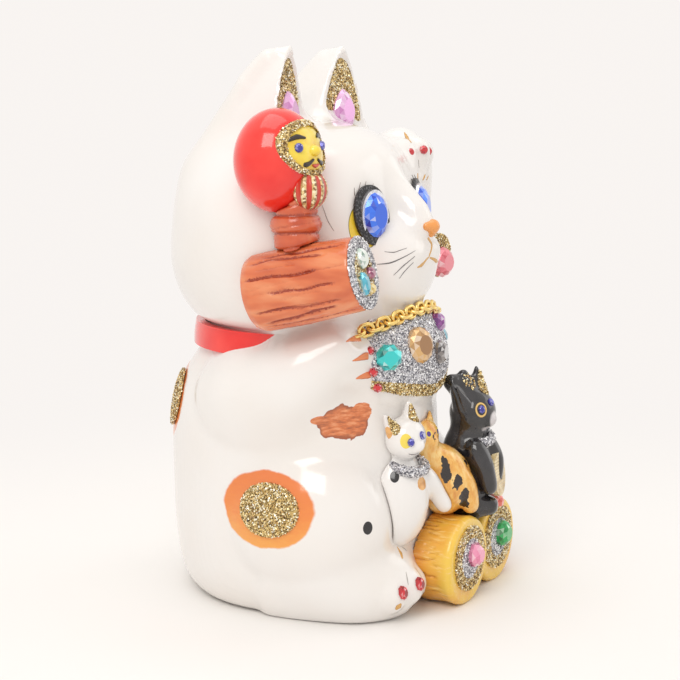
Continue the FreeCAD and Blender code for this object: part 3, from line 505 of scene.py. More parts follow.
HAUNCH_SPOT = (mm(-44.0, 1.2, 38.0), mm(30.0, 17.2, 12.2))
BACK_SPOT = (mm(-25.0, 56.0, 66.0), mm(15.5, 15.5, 14.5))
BROWN_PATCH = (mm(-29.6, -18.2, 65.4), mm(8.6, 8.4, 5.2))
BROWN_TAIL = (mm(-24.8, -22.6, 68.4), mm(3.4, 3.6, 3.0))
BROWN_LICK = (mm(-34.6, -12.6, 66.9), mm(4.4, 3.9, 1.6))
BLACK_DOT = (mm(-33.5, -29.5, 33.6), mm(1.8, 1.6, 2.1))
EYE_WHITE = (mm(-19.5, -19.0, 126.5), mm(6.0, 6.0, 7.5))
SPOT_TONES = [(0.0, (0.90, 0.40, 0.075)), (0.5, (0.84, 0.26, 0.055)), (1.0, (0.80, 0.21, 0.055))]
SPOT_FADE_Z = (0.026, 0.060)
BROWN_TONES = [(0.3, (0.40, 0.11, 0.04)), (0.5, BROWN), (0.72, (0.85, 0.38, 0.18))]
BROWN_RIM = (0.34, 0.09, 0.035)
EYE_RIM = (0.20, 0.17, 0.03)


def cat_glaze():
    """White glaze with its painted spots: orange on haunch and back, brown on the chest, a dot."""
    shader = glazed("white_glaze", WHITE_GLAZE, 0.16, 0.4)
    where = shader.place()
    tone = shader.ramp(shader.noise(where, 26.0), [(0.35, WHITE_GLAZE), (0.7, CREAM_GLAZE)])
    brush = shader.noise(shader.vector("MULTIPLY", where, (1.0, 1.0, 3.5)), 260.0, 3.0, 0.6)
    height = shader.math("ADD", shader.split(where)[2], shader.math("MULTIPLY", brush, 0.012))
    orange = shader.ramp(shader.step(height, *SPOT_FADE_Z), SPOT_TONES)
    brown = shader.ramp(brush, BROWN_TONES)
    colour = dab(shader, tone, where, *HAUNCH_SPOT, orange, 0.08)
    colour = dab(shader, colour, where, *BACK_SPOT, orange, 0.10)
    rim = spot_distance(shader, where, *BROWN_PATCH, 0.42, 190.0)
    dark = shader.mix(shader.step(rim, 0.80, 0.98), brown, BROWN_RIM)
    colour = shader.mix(shader.step(rim, 1.02, 0.98), colour, dark)
    colour = dab(shader, colour, where, *BROWN_TAIL, brown, 0.4, 260.0)
    colour = dab(shader, colour, where, *BROWN_LICK, brown, 0.35, 300.0)
    colour = dab(shader, colour, where, *BLACK_DOT, BLACK, 0.06)
    eye = spot_distance(shader, where, *EYE_WHITE, 0.01)
    colour = shader.mix(shader.step(eye, 1.01, 0.99), colour, EYE_RIM)
    colour = shader.mix(shader.step(eye, 0.965, 0.945), colour, YELLOW)
    return shader.set(Base_Color=colour)


# ---- glitter -----------------------------------------------------------------


def glitter_material(name, shade_to_glint):
    """Metal flakes, each of its own tilt, and each painted a random colour from painted shade to a
    near-white painted glint.
    """
    shader = Shader(name)
    stops = [(i / (len(shade_to_glint) - 1), tone) for i, tone in enumerate(shade_to_glint)]
    # each flake gets a random colour between painted shade and a painted glint, on top of its real
    # tilt
    colour = shader.ramp(shader.island(), stops)
    return shader.set(Base_Color=colour, Metallic=0.22, Roughness=0.2, Specular_IOR_Level=0.9)


def glue_material(name, dark, light):
    """The glue under the flakes, clouded by the finest glitter."""
    shader = Shader(name)
    value = shader.cells(2600.0)
    shader.bump(value, 0.00015, 0.8)
    colour = shader.ramp(value, [(0.2, dark), (0.8, light)])
    return shader.set(Base_Color=colour, Metallic=0.4, Roughness=0.35)


def outward_faces(node, host):
    """The triangles of a coat that face away from what carries it."""
    a, b, c, normal, area = triangles_of(nodes[node].data)
    good = np.zeros(len(a), bool)
    for i, (centre, out) in enumerate(zip((a + b + c) / 3, normal)):
        good[i] = host(Vector(centre) + Vector(out) * 1e-5, Vector(out), 2 * MM) is None
    return a[good], b[good], c[good], normal[good], area[good]


def spot_faces(obj, centre, reach):
    """The triangles of a piece within an ellipsoid."""
    a, b, c, normal, area = triangles_of(obj.data)
    away = np.linalg.norm(((a + b + c) / 3 - np.array(centre)) / np.array(reach), axis=1)
    near = away < 1
    return a[near], b[near], c[near], normal[near], area[near]


FLAKE = 0.55 * MM
FLAKE_TILT = 0.5
FLAKE_LIFT = 0.1 * MM
FLAKE_DENSITY = 3.4


def flakes(name, spots, ways, material, rng):
    """Small six-sided flakes, each tilted at random from the surface's own way out."""
    ways = ways + rng.normal(0.0, FLAKE_TILT, ways.shape)
    ways /= np.linalg.norm(ways, axis=1)[:, None]
    side = np.cross(ways, rng.normal(0.0, 1.0, ways.shape))
    side /= np.linalg.norm(side, axis=1)[:, None]
    over = np.cross(ways, side)
    radius = FLAKE * rng.uniform(0.7, 1.3, (len(spots), 1)) / 2
    ring = []
    for angle in (math.pi * k / 3 for k in range(6)):
        rim = side * math.cos(angle) + over * math.sin(angle)
        ring.append(spots + ways * FLAKE_LIFT + radius * rim)
    points = np.stack(ring, 1).reshape(-1, 3)
    return add_mesh(name, points, np.arange(len(points)).reshape(-1, 6), material, smooth=False)


def scatter(a, b, c, normal, area, rng):
    """Random spots on triangles, with the ways out there."""
    count = max(int(area.sum() * 1e6 * FLAKE_DENSITY), 8)
    pick = rng.choice(len(area), count, p=area / area.sum())
    u, v = rng.random((2, count, 1))
    flip = (u + v) > 1
    u, v = np.where(flip, 1 - u, u), np.where(flip, 1 - v, v)
    return a[pick] * (1 - u - v) + b[pick] * u + c[pick] * v, normal[pick]


BLACK_EAR_GLITTER = (mm(18.2, -39.0, 72.0), mm(2.6, 3.0, 3.4))
BARE_EAR = 2  # the black kitten's near ear, counted from -X: black paint covers its coat
GOLD_GLUE = ((0.10, 0.055, 0.015), (0.70, 0.50, 0.19))
SILVER_GLUE = ((0.10, 0.10, 0.12), (0.70, 0.70, 0.74))


def glitter_all(host, black_kitten):
    """Glue and flakes on every glitter coat, and on the black kitten's near ear."""
    rng = np.random.default_rng(SEED)
    gold = glitter_material("gold_flakes", GOLD_SHADE_TO_GLINT)
    silver = glitter_material("silver_flakes", SILVER_SHADE_TO_GLINT)
    gold_glue = glue_material("gold_glue", *GOLD_GLUE)
    silver_glue = glue_material("silver_glue", *SILVER_GLUE)
    kinds = (("gold_glitter", gold_glue, gold), ("silver_glitter", silver_glue, silver))
    for slot, glue, flake in kinds:
        for entry in frame["record"]["subparts"]:
            if entry["material_slot"] != slot:
                continue
            name = entry["node"]
            paint(name, glue)
            spots, ways = scatter(*outward_faces(name, host), rng)
            if name == "kitten_ear_glitter":
                centres = island_centres(name)
                kept = [nearest(Vector(spot), centres) != BARE_EAR for spot in spots]
                spots, ways = spots[kept], ways[kept]
            show(flakes(name + "_flakes", spots, ways, flake, rng), slot)
    mesh = nodes["kitten_ear_glitter"].data
    mesh.materials.append(black_kitten.data.materials[0])
    centres = island_centres("kitten_ear_glitter")
    for face in mesh.polygons:
        face.material_index = int(nearest(face.center, centres) == BARE_EAR)
    faces = spot_faces(black_kitten, *BLACK_EAR_GLITTER)
    spots, ways = scatter(*faces, np.random.default_rng(SEED + 3))
    ear = flakes("kitten_black_ear_flakes", spots, ways, gold, np.random.default_rng(SEED + 4))
    show(ear, "gold_glitter")


# ---- materials of the trim that keeps its CAD shape --------------------------


def paint(name, shader):
    mesh = nodes[name].data
    mesh.materials.clear()
    mesh.materials.append(shader.material)


def paint_each(name, *choices):
    """Gives each solid of a node its own material, by the centre that is nearest to a face."""
    mesh = nodes[name].data
    mesh.materials.clear()
    for _, shader in choices:
        mesh.materials.append(shader.material)
    centres = [centre for centre, _ in choices]
    for face in mesh.polygons:
        face.material_index = nearest(face.center, centres)


def gem_material(name, deep, bright, glint_share=0.25):
    """A foil-backed acrylic stone with painted light on its facets: each facet gets a random painted
    brightness, from painted shade to painted highlight, and a few get a painted glint.
    """
    shader = Shader(name)
    # painted light on the facets: deep is painted shade, bright and the paler tone are painted
    # highlight, picked at random for each facet
    pale = tuple(min(1.0, 0.55 * v + 0.45) for v in bright)
    stops = [(0.0, deep), (0.45, bright), (0.8, bright), (1.0, pale)]
    colour = shader.ramp(shader.facet(), stops)
    # a share of the facets get a near-white painted glint
    share = shader.math("MULTIPLY", shader.step(shader.facet(0.7), 0.8, 0.95), glint_share)
    colour = shader.mix(share, colour, PAINTED_GLINT)
    return shader.set(Base_Color=colour, Metallic=0.35, Roughness=0.08, Coat_Weight=1.0,
                      Coat_Roughness=0.02)


def metal(name, colour, roughness):
    """Worn plating, a little darker in patches."""
    shader = Shader(name)
    worn = shader.noise(shader.place(), 900.0)
    tarnish = shader.ramp(worn, [(0.3, tuple(0.75 * v for v in colour)), (0.6, colour)])
    shader.bump(worn, 0.00004, 0.5)
    return shader.set(Base_Color=tarnish, Metallic=0.9, Roughness=roughness)


def island_centres(name):
    """The middles of a node's separate solids, in order from -X to +X."""
    mesh = nodes[name].data
    owner = list(range(len(mesh.vertices)))

    def root(i):
        while owner[i] != i:
            owner[i] = owner[owner[i]]
            i = owner[i]
        return i

    spots = {}
    for i, vertex in enumerate(mesh.vertices):
        key = tuple(round(v * 2e5) for v in vertex.co)
        if key in spots:
            owner[root(i)] = root(spots[key])
        else:
            spots[key] = i
    for edge in mesh.edges:
        a, b = root(edge.vertices[0]), root(edge.vertices[1])
        owner[a] = b
    groups = {}
    for i, vertex in enumerate(mesh.vertices):
        groups.setdefault(root(i), []).append(vertex.co)
    middles = [sum(g, Vector()) / len(g) for g in groups.values()]
    return sorted(middles, key=lambda p: p.x)


NOSE_TOP = [(-2.5, -33.3, 126.0), (0.0, -34.2, 125.8), (2.5, -33.3, 126.0)]
NOSE_RADII = mm(1.4, 2.1, 1.4)
NOSE_FOOT = (0.0, -33.8, 123.4)


# a near-white colour painted on a few facets as a painted glint
PAINTED_GLINT = (0.9, 0.9, 0.92)
# each stone's foil colour, deep for painted shade and bright for painted highlight, and how much of
# the painted glint shows if not a quarter
FOILS = {
    "blue": ((0.01, 0.06, 0.58), (0.035, 0.19, 0.94)),
    "indigo": ((0.01, 0.01, 0.16), (0.05, 0.05, 0.42)),
    "pink": ((0.60, 0.22, 0.52), (0.84, 0.50, 0.78)),
    "candy": ((0.70, 0.14, 0.30), (0.90, 0.33, 0.50)),
    "rose": ((0.60, 0.07, 0.10), (0.86, 0.22, 0.27)),
    "coral": ((0.72, 0.10, 0.07), (0.92, 0.28, 0.22)),
    "red": ((0.25, 0.004, 0.01), (0.66, 0.02, 0.03), 0.15),
    "teal": ((0.0, 0.26, 0.26), (0.03, 0.64, 0.62)),
    "green": ((0.0, 0.16, 0.03), (0.02, 0.42, 0.10), 0.1),
    "aqua": ((0.02, 0.20, 0.30), (0.10, 0.48, 0.62)),
    "mauve": ((0.18, 0.02, 0.08), (0.42, 0.13, 0.22)),
    "purple": ((0.10, 0.01, 0.14), (0.32, 0.08, 0.34)),
    "amber": ((0.34, 0.16, 0.05), (0.70, 0.42, 0.16), 0.15),
    "smoky": ((0.03, 0.025, 0.03), (0.24, 0.21, 0.20), 0.5),
    "crystal": ((0.10, 0.22, 0.16), (0.80, 0.88, 0.80), 0.6),
    "gold": ((0.45, 0.24, 0.04), (0.90, 0.70, 0.25), 0.5),
}
PLAIN_STONES = {
    "eye_stones": "blue", "kitten_eye_stones": "indigo", "daruma_eye_stones": "indigo",
    "ear_stones": "pink", "charm_stone": "rose", "throat_stone": "purple",
    "paw_stones": "red", "raised_paw_stones": "red", "toe_stones": "red",
}
# the stones of several colours, in order along the key
MIXED_STONES = (
    ("bib_stones", lambda p: p.x, ("teal", "amber", "smoky", "aqua")),
    ("bale_stones", lambda p: (p.z > 0.025, p.x), ("candy", "green", "coral")),
    ("mallet_stones", lambda p: -p.z, ("crystal", "mauve", "aqua", "gold")),
)


def stones():
    """Materials for the stones, chain and eye settings, and the nose."""
    foils = {name: gem_material(name + "_stone", *values) for name, values in FOILS.items()}
    for node, foil in PLAIN_STONES.items():
        paint(node, foils[foil])
    for node, key, order in MIXED_STONES:
        centres = sorted(island_centres(node), key=key)
        paint_each(node, *zip(centres, (foils[foil] for foil in order)))
    paint("neck_chain", metal("gold_plate", (0.98, 0.72, 0.26), 0.2))
    paint("eye_bezels", metal("silver_foil", (0.86, 0.87, 0.90), 0.25))
    black = Shader("black_glue")
    grain = black.noise(black.place(), 1500.0, 3.0)
    black.bump(grain, 0.0004, 0.9)
    stops = [(0.52, BLACK), (0.70, (0.16, 0.16, 0.17))]
    paint("eye_black_rings", black.set(Base_Color=black.ramp(grain, stops), Roughness=0.3))
    field = Field(["nose"], 0.3 * MM, 5, 12)
    shape = field.tube([mm(*p) for p in NOSE_TOP], NOSE_RADII)
    foot = field.tube([mm(*NOSE_TOP[1]), mm(*NOSE_FOOT)], mm(2.0, 1.1))
    lustre = glazed("nose_lustre", (0.84, 0.34, 0.085), 0.25, 0.4)
    show(field.surface("nose_glaze", join(shape, foot, 1.5 * MM), lustre), "orange_glaze", "nose")


# ---- painted wood, straw and enamels -----------------------------------------

WOOD_VOXEL = 0.4 * MM


def along_axis(field, start, end):
    """Voxel coordinates about an axis: the way along it, and the angle round it, for grooves."""
    ax = np.array(end) - np.array(start)
    length = float(np.linalg.norm(ax))
    ax /= length
    side = np.cross(ax, (0, 0, 1))
    side /= np.linalg.norm(side)
    over = np.cross(side, ax)
    x, y, z = field.axes()
    x, y, z = x - start[0], y - start[1], z - start[2]
    along = x * ax[0] + y * ax[1] + z * ax[2]
    a = x * side[0] + y * side[1] + z * side[2]
    b = x * over[0] + y * over[1] + z * over[2]
    return along, np.arctan2(b, a), np.sqrt(a * a + b * b), length


def grooves(along, angle, length, count, depth, width, rng, wave, share):
    """Wavy cut lines that run along an axis, each with its own start and end."""
    cut = np.zeros(np.broadcast(along, angle).shape, np.float32)
    for k in range(count):
        at = 2 * math.pi * (k + rng.uniform(-0.35, 0.35)) / count - math.pi
        span = rng.uniform(*share) * length
        begin = rng.uniform(0, length - span)
        line = at + wave * np.sin(along / length * rng.uniform(3, 8) + rng.uniform(0, 6))
        line = line + 0.3 * wave * np.sin(along / length * rng.uniform(14, 24) + rng.uniform(0, 6))
        off = (angle - line + math.pi) % (2 * math.pi) - math.pi
        edge = 0.12 * span
        inside = rise(along, begin, edge) * rise(begin + span - along, 0.0, edge)
        cut = np.maximum(cut, rng.uniform(0.5, 1.0) * inside * np.exp(-((off / width) ** 2)))
    return cut * depth


BARREL_AXIS = (mm(-44.5, 5.4, 106.7), mm(-38.5, -30.0, 115.0))
NECK_AXIS = (mm(-42.0, -10.0, 116.0), mm(-42.0, -7.0, 141.0))
# level, width and depth of each turned line
NECK_CUTS = [(6.0, 0.5, 0.45), (10.4, 0.6, 0.7), (13.0, 0.4, 0.4), (16.0, 0.6, 0.7),
             (18.6, 0.4, 0.4)]


def mallet():
    """The mallet's barrel as carved wood, and its turned neck."""
    rng = np.random.default_rng(SEED + 1)
    field = Field(["mallet_barrel"], WOOD_VOXEL, 6)
    values = blur(field.node("mallet_barrel"), 2)
    along, angle, _, length = along_axis(field, *BARREL_AXIS)
    cut = grooves(along, angle, length, 16, 0.95, 0.038, rng, 0.06, (0.6, 1.0))
    cut = cut + grooves(along, angle, length, 30, 0.4, 0.03, rng, 0.04, (0.2, 0.6))
    cut = cut * rise(length - 1.0 * MM - along, 0.0, 1.2 * MM)
    barrel = field.surface("mallet_wood", values + cut * MM, wood_enamel("barrel_enamel", 1.0))
    show(field.store(barrel, "cut", cut), "brown_glaze", "mallet_barrel")
    field = Field(["mallet_neck"], WOOD_VOXEL, 6)
    values = blur(field.node("mallet_neck"), 10)
    along, angle, _, length = along_axis(field, *NECK_AXIS)
    cut = 0.0
    for level, width, depth in NECK_CUTS:
        off = along - level * MM - 0.6 * MM * np.sin(angle + level)
        cut = cut + depth * np.exp(-((off / (width * MM)) ** 2))
    values = values + 0.8 * cut * MM
    neck = field.surface("mallet_neck_wood", values, wood_enamel("neck_enamel", 0.62))
    show(field.store(neck, "cut", cut), "brown_glaze", "mallet_neck")


WOOD_TONES = {0.3: (0.60, 0.125, 0.045), 0.5: (0.72, 0.185, 0.068), 0.7: (0.80, 0.29, 0.13)}
WOOD_CUT = (0.36, 0.05, 0.02)
STRAW_TONES = [(0.0, (0.88, 0.58, 0.075)), (0.4, (0.84, 0.42, 0.055)), (1.0, (0.78, 0.28, 0.04))]
STRAW_FADE_Y = (-0.048, -0.028)
STRAW_PALE = (0.92, 0.62, 0.20)
STRAW_CUT = (0.58, 0.22, 0.02)


def wood_enamel(name, tone):
    """Terracotta paint, darker in the cut lines and rubbed paler between them."""
    shader = glazed(name, WOOD_TONES[0.5], 0.2, 0.35)
    streak = shader.noise(shader.vector("MULTIPLY", shader.place(), (5.0, 1.0, 4.0)), 55.0)
    stops = [(at, (tone ** 0.3 * r, tone * g, tone * b)) for at, (r, g, b) in WOOD_TONES.items()]
    in_cut = shader.step(shader.stored("cut"), 0.12, 0.7)
    return shader.set(Base_Color=shader.mix(in_cut, shader.ramp(streak, stops), WOOD_CUT))


def straw_enamel():
    """Golden yellow paint that turns orange towards the back, darker between the straws."""
    shader = glazed("straw_enamel", STRAW_TONES[0][1], 0.24, 0.45)
    where = shader.place()
    cloud = shader.math("SUBTRACT", shader.noise(where, 75.0), 0.5)
    back = shader.math("ADD", shader.split(where)[1], shader.math("MULTIPLY", cloud, 0.022))
    tone = shader.ramp(shader.step(back, *STRAW_FADE_Y), STRAW_TONES)
    fine = shader.noise(shader.vector("MULTIPLY", where, (5.0, 0.7, 5.0)), 160.0, 3.0, 0.6)
    tone = shader.mix(shader.step(fine, 0.52, 0.75), tone, STRAW_PALE)
    in_cut = shader.step(shader.stored("cut"), 0.15, 0.75)
    return shader.set(Base_Color=shader.mix(in_cut, tone, STRAW_CUT))


BALE_FRONTS = (("bale_near", 6.2, -46.0), ("bale_far", 33.2, -43.8))
BALE_AXIS_Z = 14.4


def bales():
    """The rice bales: straws cut along them, and a ragged sleeve that flares at the back."""
    rng = np.random.default_rng(SEED + 2)
    straw = straw_enamel()
    for node, x, y in BALE_FRONTS:
        field = Field([node], WOOD_VOXEL, 6, 8)
        values = blur(field.node(node), 2)
        start, end = mm(x, y, BALE_AXIS_Z), mm(x, y + 25.0, BALE_AXIS_Z)
        along, angle, radius, length = along_axis(field, start, end)
        ragged = 0.55 + 0.25 * np.sin(9 * angle + x) + 0.2 * np.sin(23 * angle + 2.0)
        level = field.axes()[2]
        flare = rise(along, length - 6.0 * MM, 5.0 * MM) * rise(level, 12.0 * MM, 9.0 * MM)
        values = values - 2.6 * MM * ragged * flare * flare
        cut = grooves(along, angle, length, 60, 0.6, 0.026, rng, 0.04, (0.15, 0.5))
        cut = cut + grooves(along, angle, length, 90, 0.25, 0.014, rng, 0.03, (0.1, 0.4))
        cut = cut * rise(along, 2.0 * MM, 3.0 * MM) * rise(radius, 8.0 * MM, 3.0 * MM)
        cut = cut.astype(np.float32)
        bale = field.surface(node + "_straw", values + cut * MM, straw)
        show(field.store(bale, "cut", cut), "straw_glaze", node)


RED_TONES = [(0.35, (0.84, 0.018, 0.012)), (0.65, (0.93, 0.045, 0.03))]
FACE_TONES = [(0.3, (0.84, 0.52, 0.03)), (0.6, (0.94, 0.72, 0.07))]
CHEST_GOLD = [(0.1, (0.25, 0.12, 0.03)), (0.5, (0.80, 0.58, 0.22)), (0.9, (1.0, 0.9, 0.6))]
CHEST_RED = (0.62, 0.045, 0.02)
CHEST_CENTRE = mm(-42.6, -13.0, 139.8)


def clouded(name, roughness, scale, stops):
    """A glaze whose tone drifts a little."""
    shader = glazed(name, stops[0][1], roughness)
    return shader.set(Base_Color=shader.ramp(shader.noise(shader.place(), scale), stops))


def daruma():
    """The doll on the mallet: lacquered body, yellow face and a striped chest."""
    red = clouded("red_enamel", 0.14, 90.0, RED_TONES)
    for name in ("daruma_body", "collar_band"):
        paint(name, red)
    paint("daruma_face", clouded("yellow_enamel", 0.22, 200.0, FACE_TONES))
    chest = glazed("chest_enamel", CHEST_RED, 0.3)
    parts = chest.split(chest.vector("SUBTRACT", chest.place(), CHEST_CENTRE))
    turn = chest.math("ARCTAN2", parts[0], parts[1])
    line = chest.math("SINE", chest.math("MULTIPLY", turn, 12.0))
    gold = chest.ramp(chest.cells(1500.0), CHEST_GOLD)
    chest.set(Base_Color=chest.mix(chest.step(line, -0.25, 0.25), CHEST_RED, gold))
    chest.bump(line, 0.0004, 0.9)
    paint("daruma_chest", chest)


# ---- kittens -----------------------------------------------------------------

KITTEN_VOXEL = 0.38 * MM
# painted spots: centre and half sizes
CALICO_ORANGE = (
    (mm(-21.2, -30.0, 62.0), mm(1.7, 1.4, 2.1)),
    (mm(-12.5, -37.6, 44.2), mm(2.4, 2.4, 2.3)),
)
CALICO_BLACK = (mm(-20.2, -31.8, 47.4), mm(1.5, 1.5, 2.1))
CALICO_EYE = (mm(-20.6, -36.0, 59.6), mm(1.9, 1.9, 2.5))
BLACK_BRUSH = (
    (mm(0.9, -39.8, 45.6), mm(1.6, 1.6, 4.6)),
    (mm(3.6, -42.6, 41.4), mm(2.4, 2.4, 2.2)),
    (mm(6.3, -43.6, 35.6), mm(1.8, 1.8, 3.8)),
    (mm(-1.6, -35.8, 56.6), mm(1.6, 1.6, 2.8)),
    (mm(9.0, -41.5, 45.0), mm(2.2, 2.2, 3.0)),
    (mm(12.0, -40.0, 50.0), mm(2.0, 2.0, 2.6)),
)
GOLD_KITTEN_EYES = (mm(-4.1, -35.8, 58.6), mm(0.5, -36.7, 58.6))
BLACK_MUZZLE = (  # the last number is the softness of the edge
    (mm(21.2, -48.4, 59.4), mm(3.2, 2.6, 3.4), 0.15),
    (mm(18.0, -46.8, 56.4), mm(2.6, 2.2, 1.4), 0.2),
)
MUZZLE_GREY = (0.60, 0.56, 0.56)
BLACK_KITTEN_NEAR_EYE = 2  # counted from -X among the kittens' eye stones
BLACK_KITTEN_EARS = (  # points, radii and fillet, in millimetres
    ([(19.0, -38.0, 66.0), (16.8, -36.0, 70.0), (15.2, -34.6, 72.0)], (3.6, 3.4, 3.0), 2.0),
    ([(20.0, -38.5, 67.0), (19.0, -37.4, 72.0), (18.6, -37.0, 74.6)], (3.6, 2.6, 1.6), 2.5),
)
CALICO_TONES = [(0.3, (0.62, 0.27, 0.07)), (0.6, (0.86, 0.47, 0.16))]
TORTOISE_TONES = [(0.3, (0.66, 0.24, 0.04)), (0.5, (0.84, 0.45, 0.10)), (0.68, (0.94, 0.68, 0.28))]
SMOKE_TONES = [(0.4, BLACK), (0.75, (0.035, 0.032, 0.036))]
COIN_TONES = [(0.35, (0.55, 0.36, 0.12)), (0.6, (0.88, 0.72, 0.42))]
COIN_RIB = 1.1 * MM
KITTEN_MOUTH = [(-18.8, -36.0, 55.3), (-17.8, -36.7, 54.8), (-16.3, -37.3, 54.9)]


def kitten(name, slot, tag, glaze, neck, extra=()):
    """A kitten's head and body blended into one glazed skin."""
    head, body = "kitten_%s_head" % tag, "kitten_%s_body" % tag
    field = Field([head, body], KITTEN_VOXEL, 8, 8)
    values = join(blur(field.node(body), 5), blur(field.node(head), 3), neck * MM)
    for points, radii, width in extra:
        values = join(values, field.tube([mm(*p) for p in points], mm(*radii)), width * MM)
    return show(field.surface(name, values, glaze), slot, head, body)


def calico():
    shader = glazed("calico_glaze", WHITE_GLAZE, 0.14)
    where = shader.place()
    orange = shader.ramp(shader.noise(where, 420.0, 3.0, 0.6), CALICO_TONES)
    colour = WHITE_GLAZE
    for spot in CALICO_ORANGE:
        colour = dab(shader, colour, where, *spot, orange, 0.2, 420.0)
    colour = dab(shader, colour, where, *CALICO_BLACK, BLACK, 0.06)
    return shader.set(Base_Color=dab(shader, colour, where, *CALICO_EYE, KITTEN_EYE, 0.06))


def tortoiseshell():
    shader = glazed("tortoiseshell_glaze", TORTOISE_TONES[1][1], 0.2)
    where = shader.place()
    brush = shader.noise(shader.vector("MULTIPLY", where, (1.0, 1.0, 0.45)), 330.0, 4.0, 0.65)
    colour = shader.ramp(brush, TORTOISE_TONES)
    for spot in BLACK_BRUSH:
        colour = dab(shader, colour, where, *spot, DARK_STRAND, 1.1, 330.0)
    for centre in GOLD_KITTEN_EYES:
        colour = dab(shader, colour, where, centre, mm(1.1, 1.6, 1.3), KITTEN_EYE, 0.06)
        colour = dab(shader, colour, where, centre, mm(0.7, 1.4, 0.9), (0.10, 0.04, 0.26), 0.06)
    return shader.set(Base_Color=colour)


def black_glaze():
    shader = glazed("black_glaze", BLACK, 0.12, 0.7)
    where = shader.place()
    colour = shader.ramp(shader.noise(where, 140.0, 3.0), SMOKE_TONES)
    for centre, reach, edge in BLACK_MUZZLE:
        colour = dab(shader, colour, where, centre, reach, MUZZLE_GREY, 0.2, 400.0, edge)
    near_eye = island_centres("kitten_eye_stones")[BLACK_KITTEN_NEAR_EYE]
    ring = spot_distance(shader, where, tuple(near_eye), mm(2.1, 2.1, 2.7), 0.03)
    colour = shader.mix(shader.step(ring, 1.03, 0.97), colour, (0.80, 0.52, 0.16))
    return shader.set(Base_Color=shader.mix(shader.step(ring, 0.78, 0.72), colour, BLACK))


def kittens():
    """The three kittens and the black one's coin."""
    white = kitten("kitten_calico", "white_glaze", "white", calico(), 2.5)
    kitten("kitten_tortoiseshell", "tortoiseshell_glaze", "gold", tortoiseshell(), 3.0)
    black = kitten("kitten_black", "black_glaze", "black", black_glaze(), 3.0, BLACK_KITTEN_EARS)
    coin = glazed("koban_enamel", COIN_TONES[1][1], 0.28)
    where = coin.place()
    coin.set(Base_Color=coin.ramp(coin.noise(where, 260.0, 3.0), COIN_TONES))
    turn = coin.math("MULTIPLY", coin.split(where)[2], 2 * math.pi / COIN_RIB)
    coin.bump(coin.math("SINE", turn), 0.0002, 0.6)
    paint("koban", coin)
    ink = glazed("kitten_ink", (0.20, 0.18, 0.18), 0.35, 0.1)
    stroke("kitten_mouth", Surface(white), KITTEN_MOUTH, (0.15, 0.5, 0.15), ink)
    return black


# ---- painted strokes ---------------------------------------------------------


class Surface:
    """What strokes are painted on and rays are cast at: all the made skins together."""

    def __init__(self, *objects):
        self.trees = []
        for mesh in (o.data for o in objects):
            corners = [p.vertices[:] for p in mesh.polygons]
            self.trees.append(BVHTree.FromPolygons([v.co[:] for v in mesh.vertices], corners))

    def nearest(self, point):
        found = [t.find_nearest(point) for t in self.trees]
        return min((f for f in found if f[0] is not None), key=lambda f: f[3])

    def ray(self, start, way, reach):
        hits = [t.ray_cast(start, way, reach) for t in self.trees]
        hits = [h for h in hits if h[0] is not None]
        return min(hits, key=lambda h: h[3]) if hits else None


STROKE_SECTION = ((-1, -0.5), (-0.6, 0.7), (0, 1.0), (0.6, 0.7), (1, -0.5), (0, -0.6))  # across, up


def curve(knots, at):
    """A smooth curve through knots, at a place counted in knots."""
    k = min(int(at), len(knots) - 2)
    u = at - k
    before, a = knots[max(k - 1, 0)], knots[k]
    b, after = knots[k + 1], knots[min(k + 2, len(knots) - 1)]
    return 0.5 * (2 * a + (b - before) * u + (2 * before - 5 * a + 4 * b - after) * u * u
                  + (3 * a - before - 3 * b + after) * u ** 3)


def stroke(name, surface, points, widths, material, slot="black_glue", lift=0.03, thick=0.10):
    """A brush stroke that follows a surface and is as broad as widths says, in millimetres."""
    knots = [Vector(mm(*p)) for p in points]
    steps = 8 * (len(knots) - 1)
    line = []
    for i in range(steps + 1):
        place, normal, _, _ = surface.nearest(curve(knots, i / steps * (len(knots) - 1)))
        width = np.interp(i / steps * (len(widths) - 1), range(len(widths)), widths) * MM
        line.append((place, normal, float(width)))
    ring_points = []
    for i, (place, normal, width) in enumerate(line):
        ahead = line[min(i + 1, steps)][0] - line[max(i - 1, 0)][0]
        side = ahead.cross(normal) if ahead.length > 0 else normal.orthogonal()
        side.normalize()
        for share, height in STROKE_SECTION:
            up = (lift + thick * height) * MM
            ring_points.append(tuple(place + side * (share * width / 2) + normal * up))
    faces = []
    for i in range(0, 6 * steps, 6):
        for k, after in ((k, (k + 1) % 6) for k in range(6)):
            faces.append((i + k, i + after, i + 6 + after, i + 6 + k))
    caps = [tuple(range(5, -1, -1)), tuple(6 * steps + k for k in range(6))]
    return show(add_mesh(name, ring_points, [faces, caps], material), slot)


